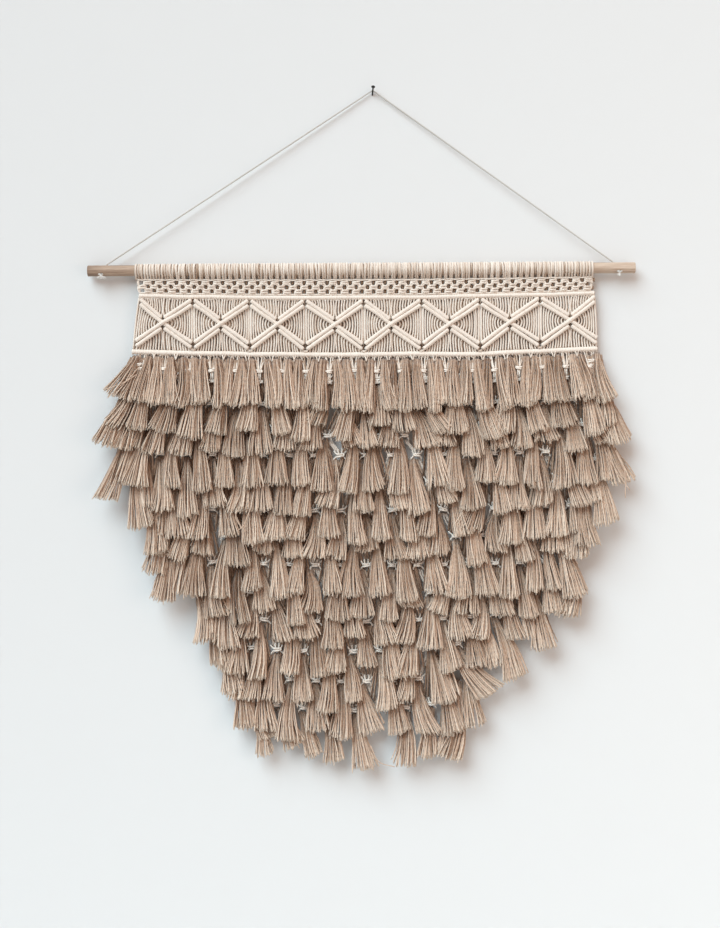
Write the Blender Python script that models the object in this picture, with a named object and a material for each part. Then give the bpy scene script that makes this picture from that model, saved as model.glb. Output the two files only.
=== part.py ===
"""Macrame wall hanging on a wooden dowel.

A dowel hangs by a thin cord from a nail. Lark's head knots wrap the dowel and carry one knotted panel:
a band of square knots, a bar, a band of diamonds, a second bar and an open ground net. Fourteen rows of
cut tassels hang from the knots of the net, each row lying over the heads of the next.

Metres, +Z up. The origin is where the nail's axis meets the wall, the wall is the plane y = 0, and the
hanging is seen from -Y with +X to the right.
"""

import math
from collections import namedtuple

import bmesh
import bpy
from mathutils import Matrix, Vector

GAP = 0.0003  # between neighbouring solids

# Nail
NAIL_RADIUS = 0.00135
NAIL_HEAD_RADIUS = 0.0035
NAIL_HEAD_THICKNESS = 0.0013
NAIL_TIP = Vector((0.0015, -0.0167, 0.0117))  # centre of the head
NAIL_HEAD_DOME = (0.0024, 0.0004)  # radius of the flat on top of the head, and how far it stands up
NAIL_SIDES = 16

# Dowel
DOWEL_LENGTH = 1.000
DOWEL_RADIUS = 0.010
DOWEL_CENTRE = Vector((-0.0220, -0.0165, -0.3223))
DOWEL_CHAMFER = 0.0006
DOWEL_SIDES = 32
HOLE_RADIUS = 0.00225

# The cord goes in at the top of the dowel and comes out at its lower front.
Hole = namedtuple("Hole", "side entry_x exit_x exit_drop")
HOLES = (
    Hole(side="left", entry_x=-0.4880, exit_x=-0.4966, exit_drop=0.0065),
    Hole(side="right", entry_x=0.4380, exit_x=0.4489, exit_drop=0.0065),
)

# Hanging cord
CORD_RADIUS = 0.0015
CORD_TOP_Z = 0.0068  # its middle, over the nail
CORD_RIM_LIFT = 0.0018  # bend of the cord above the hole's mouth
CORD_END_DEPTH = 0.0013  # its ends stop this far inside the holes
CORD_BORE_POINTS = (0.0080, 0.0030)  # depths inside a hole: from its exit, and from its mouth
# Points of a straight run, as shares of the way from the nail to the dowel
CORD_SPAN_SHARES = (0.995, 0.985, 0.95, 0.85, 0.7, 0.55, 0.4, 0.25, 0.1, 0.03, 0.008)
KNOT_RADII = (0.0052, 0.0042, 0.0040)
KNOT_SEAT = 0.0022  # from its middle to the flat that bears on the dowel

# Heading of lark's head knots
HEADING_LEFT = -0.4360
HEADING_RIGHT = 0.4020
HEADING_INNER = 0.0104
HEADING_OUTER = 0.0142
HEADING_SIDES = 24

# Lines across the panel: left and right end, height at the ends, and how far the middle hangs lower
Line = namedtuple("Line", "left right z drop")
BAND_TOP = Line(left=-0.4355, right=0.4040, z=-0.33653, drop=0.0)
BAND_FOOT = Line(left=-0.4310, right=0.3990, z=-0.36400, drop=0.0055)
UPPER_BAR_FOOT = Line(left=-0.4305, right=0.4050, z=-0.37280, drop=0.0050)
LOWER_BAR_TOP = Line(left=-0.4430, right=0.4095, z=-0.46550, drop=0.0085)
LOWER_BAR_FOOT = Line(left=-0.4440, right=0.4100, z=-0.47350, drop=0.0085)
NET_HEAD_FOOT = Line(left=-0.4440, right=0.4100, z=-0.48000, drop=0.0085)
LINE_STEPS = 10

# The panel hangs under the dowel, and the weight of the tassels swings its foot back to the wall.
PANEL_Y = DOWEL_CENTRE.y
HANG_SLOPE = 0.0135
BAND_DEPTH = 0.0080
BAR_DEPTH = 0.0095
BAR_CHAMFER = 0.0022
DIAMOND_DEPTH = 0.0050
RIDGE_DEPTH = 0.0050
NET_DEPTH = 0.0040

# Diagonal ridges: places across where they meet the bars, and where they cross between
RIDGE_ENDS = (-0.4240, 0.3985)
RIDGE_APEXES = (-0.3302, -0.2267, -0.1255, -0.0185, 0.0877, 0.1944, 0.3038)
RIDGE_CROSSINGS = (-0.3853, -0.2793, -0.1760, -0.0709, 0.0315, 0.1384, 0.2483, 0.3587)
RIDGE_HALF_WIDTH = 0.0063
RIDGE_HALF_HEIGHT = 0.0077
RIDGE_TIP = 0.0020  # of a ridge's corner beyond its middle, at a bar

# Ground net: knots in staggered columns
COLUMN_X = -0.0161  # middle column of the odd rows; even rows are half a pitch to the left
PITCH = 0.0468
KNOT_HALF_WIDTH = 0.0090
KNOT_HALF_HEIGHT = 0.0065
HEAD_STRUT_HALF = 0.0040  # half the width of a cord pair where it leaves the net's head

# Tassel rows: outer columns, height of the row's middle, how much higher its ends are, tassel length,
# and how far the tips of the outer tassels lean to the right
Row = namedtuple("Row", "first last z rise length lean_left lean_right")
TOP_ROW = Row(first=0, last=39, z=-0.4871, rise=0.0085, length=0.089, lean_left=-0.040, lean_right=0.026)
TOP_ROW_PITCH = 0.0215
NET_ROWS = (
    Row(first=-9, last=10, z=-0.5300, rise=0.0085, length=0.097, lean_left=-0.042, lean_right=0.027),
    Row(first=-9, last=9, z=-0.5757, rise=0.0085, length=0.083, lean_left=-0.030, lean_right=0.046),
    Row(first=-9, last=10, z=-0.6214, rise=0.0080, length=0.102, lean_left=-0.025, lean_right=0.013),
    Row(first=-9, last=9, z=-0.6690, rise=0.0080, length=0.097, lean_left=0.006, lean_right=0.026),
    Row(first=-8, last=9, z=-0.7183, rise=0.0080, length=0.099, lean_left=0.008, lean_right=0.008),
    Row(first=-8, last=8, z=-0.7695, rise=0.0080, length=0.085, lean_left=-0.026, lean_right=0.024),
    Row(first=-7, last=8, z=-0.8189, rise=0.0080, length=0.104, lean_left=-0.022, lean_right=0.018),
    Row(first=-6, last=8, z=-0.8700, rise=0.0080, length=0.091, lean_left=0.010, lean_right=-0.006),
    Row(first=-6, last=7, z=-0.9212, rise=0.0090, length=0.088, lean_left=0.004, lean_right=0.024),
    Row(first=-6, last=5, z=-0.9724, rise=0.0120, length=0.093, lean_left=-0.004, lean_right=0.027),
    Row(first=-5, last=4, z=-1.0272, rise=0.0130, length=0.093, lean_left=-0.010, lean_right=0.018),
    Row(first=-5, last=4, z=-1.0821, rise=0.0150, length=0.093, lean_left=-0.006, lean_right=0.012),
    Row(first=-4, last=4, z=-1.1351, rise=0.0200, length=0.093, lean_left=0.008, lean_right=-0.008),
)
BARE_KNOT = (14, 1)  # row and column of the one knot of the last row that carries no tassel

# A tassel: a head at the row's band, flaring and leaning forward over the row below
Tassel = namedtuple("Tassel", "head_width tip_width")
SLIM = Tassel(head_width=0.0120, tip_width=0.0180)
FULL = Tassel(head_width=0.0160, tip_width=0.0350)
ROW_BAND_HALF = 0.0045
TASSEL_DEPTH = 0.0085
TASSEL_FLARE = 0.047  # gain in depth along its length
TASSEL_LEAN = 0.28  # forward, along its length
UNEVEN = 0.0025
ROW_BAND_STEPS = 6

Finish = namedtuple("Finish", "name colour roughness metallic")
BLACK_STEEL = Finish("nail", (0.012, 0.012, 0.013), 0.45, 1.0)
GREY_CORD = Finish("hanging_cord", (0.58, 0.53, 0.47), 0.90, 0.0)
WOOD = Finish("dowel_wood", (0.44, 0.29, 0.19), 0.60, 0.0)
CREAM = Finish("cream_cotton", (0.77, 0.69, 0.59), 0.90, 0.0)
TAUPE = Finish("taupe_cotton", (0.43, 0.32, 0.25), 0.92, 0.0)


def clear_scene():
    for item in list(bpy.data.objects):
        bpy.data.objects.remove(item, do_unlink=True)


def material(finish):
    made = bpy.data.materials.get(finish.name)
    if made:
        return made
    made = bpy.data.materials.new(finish.name)
    made.use_nodes = True
    shader = made.node_tree.nodes["Principled BSDF"]
    shader.inputs["Base Color"].default_value = (*finish.colour, 1.0)
    shader.inputs["Roughness"].default_value = finish.roughness
    shader.inputs["Metallic"].default_value = finish.metallic
    return made


def place(name, data, finish):
    item = bpy.data.objects.new(name, data)
    data.materials.append(material(finish))
    bpy.context.scene.collection.objects.link(item)
    return item


def place_bmesh(name, bm, finish, smooth=False):
    bm.normal_update()
    bmesh.ops.recalc_face_normals(bm, faces=bm.faces)
    mesh = bpy.data.meshes.new(name)
    bm.to_mesh(mesh)
    bm.free()
    if smooth:
        mesh.shade_smooth()
        mesh.set_sharp_from_angle(angle=math.radians(40))
    return place(name, mesh, finish)


def hung(x, y, z):
    """A point of the panel, which swings back towards the wall below the dowel."""
    return Vector((x, y + HANG_SLOPE * (DOWEL_CENTRE.z - z), z))


# Turned pieces


def turned(profile, sides):
    """A solid turned about +Z from its profile of (radius, height), which starts and ends on the axis."""
    bm = bmesh.new()
    rings = []
    for radius, height in profile[1:-1]:
        turn = [2 * math.pi * k / sides for k in range(sides)]
        rings.append([bm.verts.new((radius * math.cos(a), radius * math.sin(a), height)) for a in turn])
    for lower, upper in zip(rings, rings[1:]):
        for k in range(sides):
            bm.faces.new((lower[k - 1], lower[k], upper[k], upper[k - 1]))
    bm.faces.new(rings[0])
    bm.faces.new(rings[-1])
    return bm


def nail():
    length = NAIL_TIP.length
    head_foot = length - NAIL_HEAD_THICKNESS
    flat_radius, dome = NAIL_HEAD_DOME
    profile = (
        (0.0, -2 * NAIL_RADIUS),
        (NAIL_RADIUS, -2 * NAIL_RADIUS),
        (NAIL_RADIUS, head_foot),
        (NAIL_HEAD_RADIUS, head_foot),
        (NAIL_HEAD_RADIUS, length - dome),
        (flat_radius, length),
        (0.0, length),
    )
    bm = turned(profile, NAIL_SIDES)
    bm.transform(NAIL_TIP.to_track_quat("Z", "Y").to_matrix().to_4x4())
    cut = bmesh.ops.bisect_plane(
        bm,
        geom=bm.verts[:] + bm.edges[:] + bm.faces[:],
        plane_co=(0, 0, 0),
        plane_no=(0, 1, 0),
        clear_outer=True,
    )
    rim = [part for part in cut["geom_cut"] if isinstance(part, bmesh.types.BMEdge)]
    bmesh.ops.holes_fill(bm, edges=rim)
    return place_bmesh("nail", bm, BLACK_STEEL, smooth=True)


def hole_points(hole):
    """Where the middle of a hole meets the top and the lower front of the dowel."""
    forward = math.sqrt(DOWEL_RADIUS**2 - hole.exit_drop**2)
    entry = Vector((hole.entry_x, DOWEL_CENTRE.y, DOWEL_CENTRE.z + DOWEL_RADIUS))
    leave = Vector((hole.exit_x, DOWEL_CENTRE.y - forward, DOWEL_CENTRE.z - hole.exit_drop))
    return entry, leave


def hole_cutter(hole):
    entry, leave = hole_points(hole)
    run = leave - entry
    bm = bmesh.new()
    bmesh.ops.create_cone(
        bm,
        segments=16,
        radius1=HOLE_RADIUS,
        radius2=HOLE_RADIUS,
        depth=run.length + 4 * DOWEL_RADIUS,
        cap_ends=True,
    )
    bm.transform(Matrix.Translation((entry + leave) / 2) @ run.to_track_quat("Z", "Y").to_matrix().to_4x4())
    cutter = place_bmesh(f"hole_cutter_{hole.side}", bm, WOOD)
    cutter.hide_render = True
    cutter.display_type = "WIRE"
    return cutter


def dowel():
    half = DOWEL_LENGTH / 2
    inset = DOWEL_RADIUS - DOWEL_CHAMFER
    profile = (
        (0.0, -half),
        (inset, -half),
        (DOWEL_RADIUS, -half + DOWEL_CHAMFER),
        (DOWEL_RADIUS, half - DOWEL_CHAMFER),
        (inset, half),
        (0.0, half),
    )
    bm = turned(profile, DOWEL_SIDES)
    bm.transform(Matrix.Translation(DOWEL_CENTRE) @ Matrix.Rotation(math.radians(90), 4, "Y"))
    rod = place_bmesh("dowel", bm, WOOD, smooth=True)
    for hole in HOLES:
        cut = rod.modifiers.new(f"hole_{hole.side}", "BOOLEAN")
        cut.operation = "DIFFERENCE"
        cut.solver = "EXACT"
        cut.object = hole_cutter(hole)
    return rod


# Hanging cord and its knots


def cord_run(hole):
    """One half of the cord's route, from its end inside a hole up to the nail."""
    entry, leave = hole_points(hole)
    bore = (leave - entry).normalized()
    bend = entry - bore * CORD_RIM_LIFT
    side = -1 if hole.side == "left" else 1
    axis = NAIL_TIP.normalized()
    lift = Vector((0, -axis.z, axis.y)).normalized() * -(NAIL_RADIUS + CORD_RADIUS + GAP)
    on_nail = axis * ((CORD_TOP_Z - lift.z) / axis.z)
    top = on_nail + lift
    slope = math.atan2(top.z - bend.z, abs(bend.x - top.x))
    around = -lift.z * (1 - math.cos(slope))
    touch = top + Vector((side * lift.length * math.sin(slope), 0, around))
    run = bend - touch
    from_exit, from_mouth = CORD_BORE_POINTS
    points = [leave - bore * CORD_END_DEPTH, leave - bore * from_exit, entry + bore * from_mouth, bend]
    points += [touch + run * share for share in CORD_SPAN_SHARES]
    return points + [touch], top


def smooth_curve(points, steps):
    """A Catmull-Rom curve through the points."""
    ends = [2 * points[0] - points[1], *points, 2 * points[-1] - points[-2]]
    curve = []
    for a, b, c, d in zip(ends, ends[1:], ends[2:], ends[3:]):
        for k in range(steps):
            t = k / steps
            curve.append(
                0.5 * (2 * b + (c - a) * t + (2 * a - 5 * b + 4 * c - d) * t**2)
                + 0.5 * (3 * b - a - 3 * c + d) * t**3
            )
    return curve + [points[-1]]


def hanging_cord():
    left, top = cord_run(HOLES[0])
    right, _ = cord_run(HOLES[1])
    route = smooth_curve(left + [top] + right[::-1], steps=2)
    curve = bpy.data.curves.new("hanging_cord", "CURVE")
    curve.dimensions = "3D"
    curve.bevel_depth = CORD_RADIUS
    curve.bevel_resolution = 2
    curve.use_fill_caps = True
    spline = curve.splines.new("POLY")
    spline.points.add(len(route) - 1)
    for point, at in zip(spline.points, route):
        point.co = (*at, 1.0)
    return place("hanging_cord", curve, GREY_CORD)


def stop_knot(hole):
    """A knot against the dowel, flat where it bears on it."""
    _, leave = hole_points(hole)
    outward = Vector((0, leave.y - DOWEL_CENTRE.y, leave.z - DOWEL_CENTRE.z)).normalized()
    bm = bmesh.new()
    bmesh.ops.create_icosphere(bm, subdivisions=2, radius=1.0)
    bmesh.ops.scale(bm, vec=KNOT_RADII, verts=bm.verts)
    cut = bmesh.ops.bisect_plane(
        bm,
        geom=bm.verts[:] + bm.edges[:] + bm.faces[:],
        plane_co=(0, 0, -KNOT_SEAT),
        plane_no=(0, 0, -1),
        clear_outer=True,
    )
    rim = [part for part in cut["geom_cut"] if isinstance(part, bmesh.types.BMEdge)]
    bmesh.ops.holes_fill(bm, edges=rim)
    turn = Matrix((Vector((1, 0, 0)), outward.cross(Vector((1, 0, 0))), outward)).transposed()
    seat = leave + outward * (GAP + KNOT_SEAT)
    bm.transform(Matrix.Translation(seat) @ turn.to_4x4())
    return place_bmesh(f"knot_{hole.side}", bm, GREY_CORD, smooth=True)


# Heading and panel


def heading():
    bm = bmesh.new()
    half_turn = math.pi / HEADING_SIDES
    rings = []
    for x in (HEADING_LEFT, HEADING_RIGHT):
        for radius in (HEADING_INNER, HEADING_OUTER):
            turn = [half_turn + 2 * math.pi * k / HEADING_SIDES for k in range(HEADING_SIDES)]
            offsets = [Vector((0, radius * math.cos(a), radius * math.sin(a))) for a in turn]
            axis = Vector((x, DOWEL_CENTRE.y, DOWEL_CENTRE.z))
            rings.append([bm.verts.new(axis + offset) for offset in offsets])
    inner_left, outer_left, inner_right, outer_right = rings
    pairs = (
        (outer_left, outer_right),
        (outer_right, inner_right),
        (inner_right, inner_left),
        (inner_left, outer_left),
    )
    for one, other in pairs:
        for k in range(HEADING_SIDES):
            bm.faces.new((one[k - 1], one[k], other[k], other[k - 1]))
    return place_bmesh("heading", bm, CREAM, smooth=True)


def line_z(line, x):
    """Height of a line at x: its middle hangs lower than its ends."""
    middle = (line.left + line.right) / 2
    half = (line.right - line.left) / 2
    return line.z - line.drop * (1 - ((x - middle) / half) ** 2)


def slab(name, corners, faces, front, depth, finish):
    """A flat solid seen from the front, from its corners (x, z) and its faces, counter-clockwise."""
    bm = bmesh.new()
    near = [bm.verts.new(hung(x, front, z)) for x, z in corners]
    far = [bm.verts.new(hung(x, front + depth, z)) for x, z in corners]
    edges = {}
    for face in faces:
        bm.faces.new([near[k] for k in face])
        bm.faces.new([far[k] for k in reversed(face)])
        for a, b in zip(face, face[1:] + face[:1]):
            edges[a, b] = (b, a)
    for (a, b), back in edges.items():
        if back not in edges:
            bm.faces.new((near[b], near[a], far[a], far[b]))
    return place_bmesh(name, bm, finish)


def strip(name, upper, lower, front, depth):
    """A band of the panel between two lines."""
    corners = []
    for k in range(LINE_STEPS + 1):
        share = k / LINE_STEPS
        for line, inset in ((upper, -GAP / 2), (lower, GAP / 2)):
            x = line.left + (line.right - line.left) * share
            corners.append((x, line_z(line, x) + inset))
    faces = [(2 * k, 2 * k + 1, 2 * k + 3, 2 * k + 2) for k in range(LINE_STEPS)]
    return slab(name, corners, faces, front, depth, CREAM)


def bar(name, upper, lower):
    """A row of clove hitches: a rounded bar between two lines."""
    bm = bmesh.new()
    rings = []
    half = BAR_DEPTH / 2
    for k in range(LINE_STEPS + 1):
        share = k / LINE_STEPS
        x = lower.left + (lower.right - lower.left) * share
        top = line_z(upper, x) - GAP / 2
        foot = line_z(lower, x) + GAP / 2
        section = (
            (-half, top - BAR_CHAMFER),
            (-half, foot + BAR_CHAMFER),
            (-half + BAR_CHAMFER, foot),
            (half - BAR_CHAMFER, foot),
            (half, foot + BAR_CHAMFER),
            (half, top - BAR_CHAMFER),
            (half - BAR_CHAMFER, top),
            (-half + BAR_CHAMFER, top),
        )
        rings.append([bm.verts.new(hung(x, PANEL_Y + y, z)) for y, z in section])
    for one, other in zip(rings, rings[1:]):
        for k in range(len(one)):
            bm.faces.new((one[k - 1], one[k], other[k], other[k - 1]))
    bm.faces.new(rings[0])
    bm.faces.new(rings[-1])
    return place_bmesh(name, bm, CREAM)


# Lattices: knots joined by slanting struts

Knot = namedtuple("Knot", "x z half_width up down")


class Lattice:
    """Flat net of four-cornered knots, with struts that leave a knot by one of its lower edges."""

    def __init__(self):
        self.corners = []
        self.faces = []
        self.knots = {}

    def corner(self, x, z):
        self.corners.append((x, z))
        return len(self.corners) - 1

    def add(self, key, knot):
        left = self.corner(knot.x - knot.half_width, knot.z)
        foot = self.corner(knot.x, knot.z - knot.down)
        right = self.corner(knot.x + knot.half_width, knot.z)
        top = self.corner(knot.x, knot.z + knot.up)
        self.knots[key] = (left, foot, right, top)
        self.faces.append((left, foot, right, top))

    def down_right(self, upper, lower):
        _, foot, right, _ = self.knots[upper]
        left, _, _, top = self.knots[lower]
        self.faces.append((foot, left, top, right))

    def down_left(self, upper, lower):
        left, foot, _, _ = self.knots[upper]
        _, _, right, top = self.knots[lower]
        self.faces.append((left, top, right, foot))

    def straight_down(self, upper, lower, outer_side):
        left, foot, right, _ = self.knots[upper]
        low_left, _, low_right, low_top = self.knots[lower]
        if outer_side < 0:
            self.faces.append((left, low_left, low_top, foot))
        else:
            self.faces.append((foot, low_top, low_right, right))


def diagonal_ridges():
    """Two crossing zigzags of diagonal clove hitches, in front of the diamond band."""
    net = Lattice()
    rows = (("top", RIDGE_APEXES), ("middle", RIDGE_CROSSINGS), ("foot", RIDGE_APEXES))
    for row, places in rows:
        if row != "middle":
            places = (RIDGE_ENDS[0], *places, RIDGE_ENDS[1])
        for k, x in enumerate(places):
            top = line_z(UPPER_BAR_FOOT, x) - GAP
            foot = line_z(LOWER_BAR_TOP, x) + GAP
            tall = RIDGE_HALF_HEIGHT
            at = {
                "top": Knot(x, top - RIDGE_TIP, RIDGE_HALF_WIDTH, RIDGE_TIP, tall),
                "middle": Knot(x, (top + foot) / 2, RIDGE_HALF_WIDTH, tall, tall),
                "foot": Knot(x, foot + RIDGE_TIP, RIDGE_HALF_WIDTH, tall, RIDGE_TIP),
            }[row]
            net.add((row, k), at)
    for k in range(len(RIDGE_CROSSINGS)):
        net.down_right(("top", k), ("middle", k))
        net.down_left(("top", k + 1), ("middle", k))
        net.down_left(("middle", k), ("foot", k))
        net.down_right(("middle", k), ("foot", k + 1))
    front = PANEL_Y - DIAMOND_DEPTH / 2 - GAP - RIDGE_DEPTH
    return slab("diagonal_ridges", net.corners, net.faces, front, RIDGE_DEPTH, CREAM)


def column_x(row_number, column):
    shift = 0 if row_number % 2 else -PITCH / 2
    return COLUMN_X + shift + column * PITCH


def row_z(row, x, ends):
    """Height of a row at x: its ends are higher than its middle."""
    middle = (ends[0] + ends[1]) / 2
    half = (ends[1] - ends[0]) / 2
    return row.z + row.rise * ((x - middle) / half) ** 2


def net_places():
    """Every knot of the net: (row number, column) and its place."""
    places = {}
    for number, row in enumerate(NET_ROWS, start=2):
        ends = (column_x(number, row.first), column_x(number, row.last))
        for column in range(row.first, row.last + 1):
            x = column_x(number, column)
            places[number, column] = (x, row_z(row, x, ends))
    return places


def lower_columns(number, column):
    """Columns of the knots below left and below right, in the next row."""
    return (column, column + 1) if number % 2 else (column - 1, column)


def ground_net():
    net = Lattice()
    places = net_places()
    for key, (x, z) in places.items():
        net.add(key, Knot(x, z, KNOT_HALF_WIDTH, KNOT_HALF_HEIGHT, KNOT_HALF_HEIGHT))
    for number, column in places:
        below_left, below_right = lower_columns(number, column)
        row = NET_ROWS[number - 2]
        if (number + 1, below_left) in places:
            net.down_left((number, column), (number + 1, below_left))
        elif column == row.first and (number + 2, column) in places:
            net.straight_down((number, column), (number + 2, column), -1)
        if (number + 1, below_right) in places:
            net.down_right((number, column), (number + 1, below_right))
        elif column == row.last and (number + 2, column) in places:
            net.straight_down((number, column), (number + 2, column), 1)
    net_head(net, places)
    front = PANEL_Y - NET_DEPTH / 2
    return slab("ground_net", net.corners, net.faces, front, NET_DEPTH, CREAM)


def net_head(net, places):
    """The net's head under the lower bar, and the cord pairs from it to the first row of knots."""
    head, foot = LOWER_BAR_FOOT, NET_HEAD_FOOT
    stops = []
    for column in range(NET_ROWS[0].first, NET_ROWS[0].last + 1):
        x, _ = places[2, column]
        for side in (-1, 1):
            leave = x + side * PITCH / 4
            if foot.left + HEAD_STRUT_HALF < leave < foot.right - HEAD_STRUT_HALF:
                stops.append((leave, side, (2, column)))
    feet = [net.corner(foot.left, line_z(foot, foot.left))]
    for leave, side, key in stops:
        one = net.corner(leave - HEAD_STRUT_HALF, line_z(foot, leave - HEAD_STRUT_HALF))
        other = net.corner(leave + HEAD_STRUT_HALF, line_z(foot, leave + HEAD_STRUT_HALF))
        left, _, right, top = net.knots[key]
        net.faces.append((one, left, top, other) if side < 0 else (one, top, right, other))
        feet += [one, other]
    feet.append(net.corner(foot.right, line_z(foot, foot.right)))
    heads = []
    for k in feet:
        x = net.corners[k][0]
        heads.append(net.corner(x, line_z(head, x) - GAP / 2))
    for k in range(len(feet) - 1):
        net.faces.append((feet[k], feet[k + 1], heads[k + 1], heads[k]))


# Tassels


def uneven(number, column, seed):
    """A fixed value between -1 and 1 for each tassel."""
    return math.sin(12.99 * number + 78.23 * column + 37.7 * seed)


def lean_of(row, column):
    """How far the tip leans to the right: most at the row's ends, fading inwards."""
    return row.lean_left * 0.5 ** (column - row.first) + row.lean_right * 0.5 ** (row.last - column)


def tassel_row(number, row, xs, tassel):
    """One comb: a band along the heads, and a tapered tooth for each tassel."""
    bm = bmesh.new()
    back = PANEL_Y - NET_DEPTH / 2 - GAP
    front = back - TASSEL_DEPTH
    ends = (xs[row.first], xs[row.last])
    half_head = tassel.head_width / 2
    left = ends[0] - half_head
    right = ends[1] + half_head

    def corner(x, y, rise):
        return bm.verts.new(hung(x, y, row_z(row, x, ends) + rise))

    tops = []
    for k in range(ROW_BAND_STEPS + 1):
        x = left + (right - left) * k / ROW_BAND_STEPS
        tops.append((corner(x, front, ROW_BAND_HALF), corner(x, back, ROW_BAND_HALF)))
    feet = []
    for column, x in xs.items():
        for side in (-1, 1):
            at = x + side * half_head
            feet.append((corner(at, front, -ROW_BAND_HALF), corner(at, back, -ROW_BAND_HALF)))
    for one, other in zip(tops, tops[1:]):
        bm.faces.new((one[0], other[0], other[1], one[1]))
    for face in (0, 1):
        bm.faces.new([foot[face] for foot in feet] + [top[face] for top in reversed(tops)])
    bm.faces.new((feet[0][0], tops[0][0], tops[0][1], feet[0][1]))
    bm.faces.new((feet[-1][0], feet[-1][1], tops[-1][1], tops[-1][0]))
    for k, (column, x) in enumerate(xs.items()):
        near, far = feet[2 * k], feet[2 * k + 1]
        if k:
            before = feet[2 * k - 1]
            bm.faces.new((before[0], before[1], near[1], near[0]))
        if (number, column) == BARE_KNOT:
            bm.faces.new((near[0], near[1], far[1], far[0]))
        else:
            tooth(bm, number, row, column, x, (near, far), tassel, row_z(row, x, ends))
    return place_bmesh(f"tassel_row_{number:02d}", bm, TAUPE)


def tooth(bm, number, row, column, x, head, tassel, z):
    lean = lean_of(row, column) + UNEVEN * uneven(number, column, 1)
    length = row.length - ROW_BAND_HALF + UNEVEN * uneven(number, column, 2)
    drop = math.sqrt(length**2 - lean**2)
    tilt = lean / 4 + UNEVEN / 2 * uneven(number, column, 3)
    back = PANEL_Y - NET_DEPTH / 2 - GAP
    tip = []
    for side in (-1, 1):
        across = x + lean + side * tassel.tip_width / 2
        fall = drop - side * tilt
        far = back - TASSEL_LEAN * fall
        near = far - TASSEL_DEPTH - TASSEL_FLARE * fall
        up = z - ROW_BAND_HALF - fall
        tip.append((bm.verts.new(hung(across, near, up)), bm.verts.new(hung(across, far, up))))
    near, far = head
    left, right = tip
    bm.faces.new((near[0], left[0], right[0], far[0]))
    bm.faces.new((far[1], right[1], left[1], near[1]))
    bm.faces.new((near[1], left[1], left[0], near[0]))
    bm.faces.new((far[0], right[0], right[1], far[1]))
    bm.faces.new((left[0], left[1], right[1], right[0]))


def tassel_rows():
    start = HEADING_LEFT
    top_xs = {k: start + k * TOP_ROW_PITCH for k in range(TOP_ROW.first, TOP_ROW.last + 1)}
    tassel_row(1, TOP_ROW, top_xs, SLIM)
    for number, row in enumerate(NET_ROWS, start=2):
        xs = {k: column_x(number, k) for k in range(row.first, row.last + 1)}
        tassel_row(number, row, xs, FULL)


def build():
    clear_scene()
    nail()
    dowel()
    hanging_cord()
    for hole in HOLES:
        stop_knot(hole)
    heading()
    strip("knot_band", BAND_TOP, BAND_FOOT, PANEL_Y - BAND_DEPTH / 2, BAND_DEPTH)
    bar("upper_bar", BAND_FOOT, UPPER_BAR_FOOT)
    strip("diamond_band", UPPER_BAR_FOOT, LOWER_BAR_TOP, PANEL_Y - DIAMOND_DEPTH / 2, DIAMOND_DEPTH)
    diagonal_ridges()
    bar("lower_bar", LOWER_BAR_TOP, LOWER_BAR_FOOT)
    ground_net()
    tassel_rows()


build()
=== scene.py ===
import math
from collections import namedtuple

import bpy
import numpy as np
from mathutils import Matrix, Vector


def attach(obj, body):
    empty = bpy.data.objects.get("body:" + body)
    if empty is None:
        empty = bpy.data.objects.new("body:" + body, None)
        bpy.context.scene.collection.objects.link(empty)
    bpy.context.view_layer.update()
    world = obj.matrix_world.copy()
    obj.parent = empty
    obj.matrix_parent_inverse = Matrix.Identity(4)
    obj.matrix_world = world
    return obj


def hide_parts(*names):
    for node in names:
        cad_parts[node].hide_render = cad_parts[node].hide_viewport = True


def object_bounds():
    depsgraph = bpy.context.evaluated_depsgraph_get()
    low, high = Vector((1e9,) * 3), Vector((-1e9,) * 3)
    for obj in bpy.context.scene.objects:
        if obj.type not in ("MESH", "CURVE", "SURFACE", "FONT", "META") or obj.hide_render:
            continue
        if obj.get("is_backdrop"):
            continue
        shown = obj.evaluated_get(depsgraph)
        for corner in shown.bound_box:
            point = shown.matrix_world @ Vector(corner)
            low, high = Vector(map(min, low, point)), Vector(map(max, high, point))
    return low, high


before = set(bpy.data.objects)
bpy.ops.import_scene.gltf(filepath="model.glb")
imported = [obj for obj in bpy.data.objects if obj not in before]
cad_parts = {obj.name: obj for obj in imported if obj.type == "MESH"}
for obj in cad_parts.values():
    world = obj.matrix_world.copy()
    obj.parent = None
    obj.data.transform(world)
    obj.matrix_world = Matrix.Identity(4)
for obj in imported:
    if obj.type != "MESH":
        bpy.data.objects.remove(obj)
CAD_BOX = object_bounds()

# Sizes of the frame, in metres. +Z is up, and the front faces -Y.

NAIL_RADIUS = 0.00135
NAIL_TIP = np.array((0.0015, -0.0167, 0.0117))
DOWEL_RADIUS = 0.010
DOWEL_Y = -0.0165
DOWEL_Z = -0.3223
DOWEL_LEFT = -0.5220
DOWEL_RIGHT = 0.4780

Hole = namedtuple("Hole", "side entry_x exit_x exit_drop")
HOLES = (
    Hole(side="left", entry_x=-0.4880, exit_x=-0.4966, exit_drop=0.0065),
    Hole(side="right", entry_x=0.4380, exit_x=0.4489, exit_drop=0.0065),
)
CORD_RADIUS = 0.0015
CORD_GAP = 0.0003
CORD_TOP_Z = 0.0068
CORD_RIM_LIFT = 0.0018
CORD_END_DEPTH = 0.0013
CORD_BORE_POINTS = (0.0080, 0.0030)
CORD_SPAN_SHARES = (0.995, 0.985, 0.95, 0.85, 0.7, 0.55, 0.4, 0.25, 0.1, 0.03, 0.008)

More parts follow.
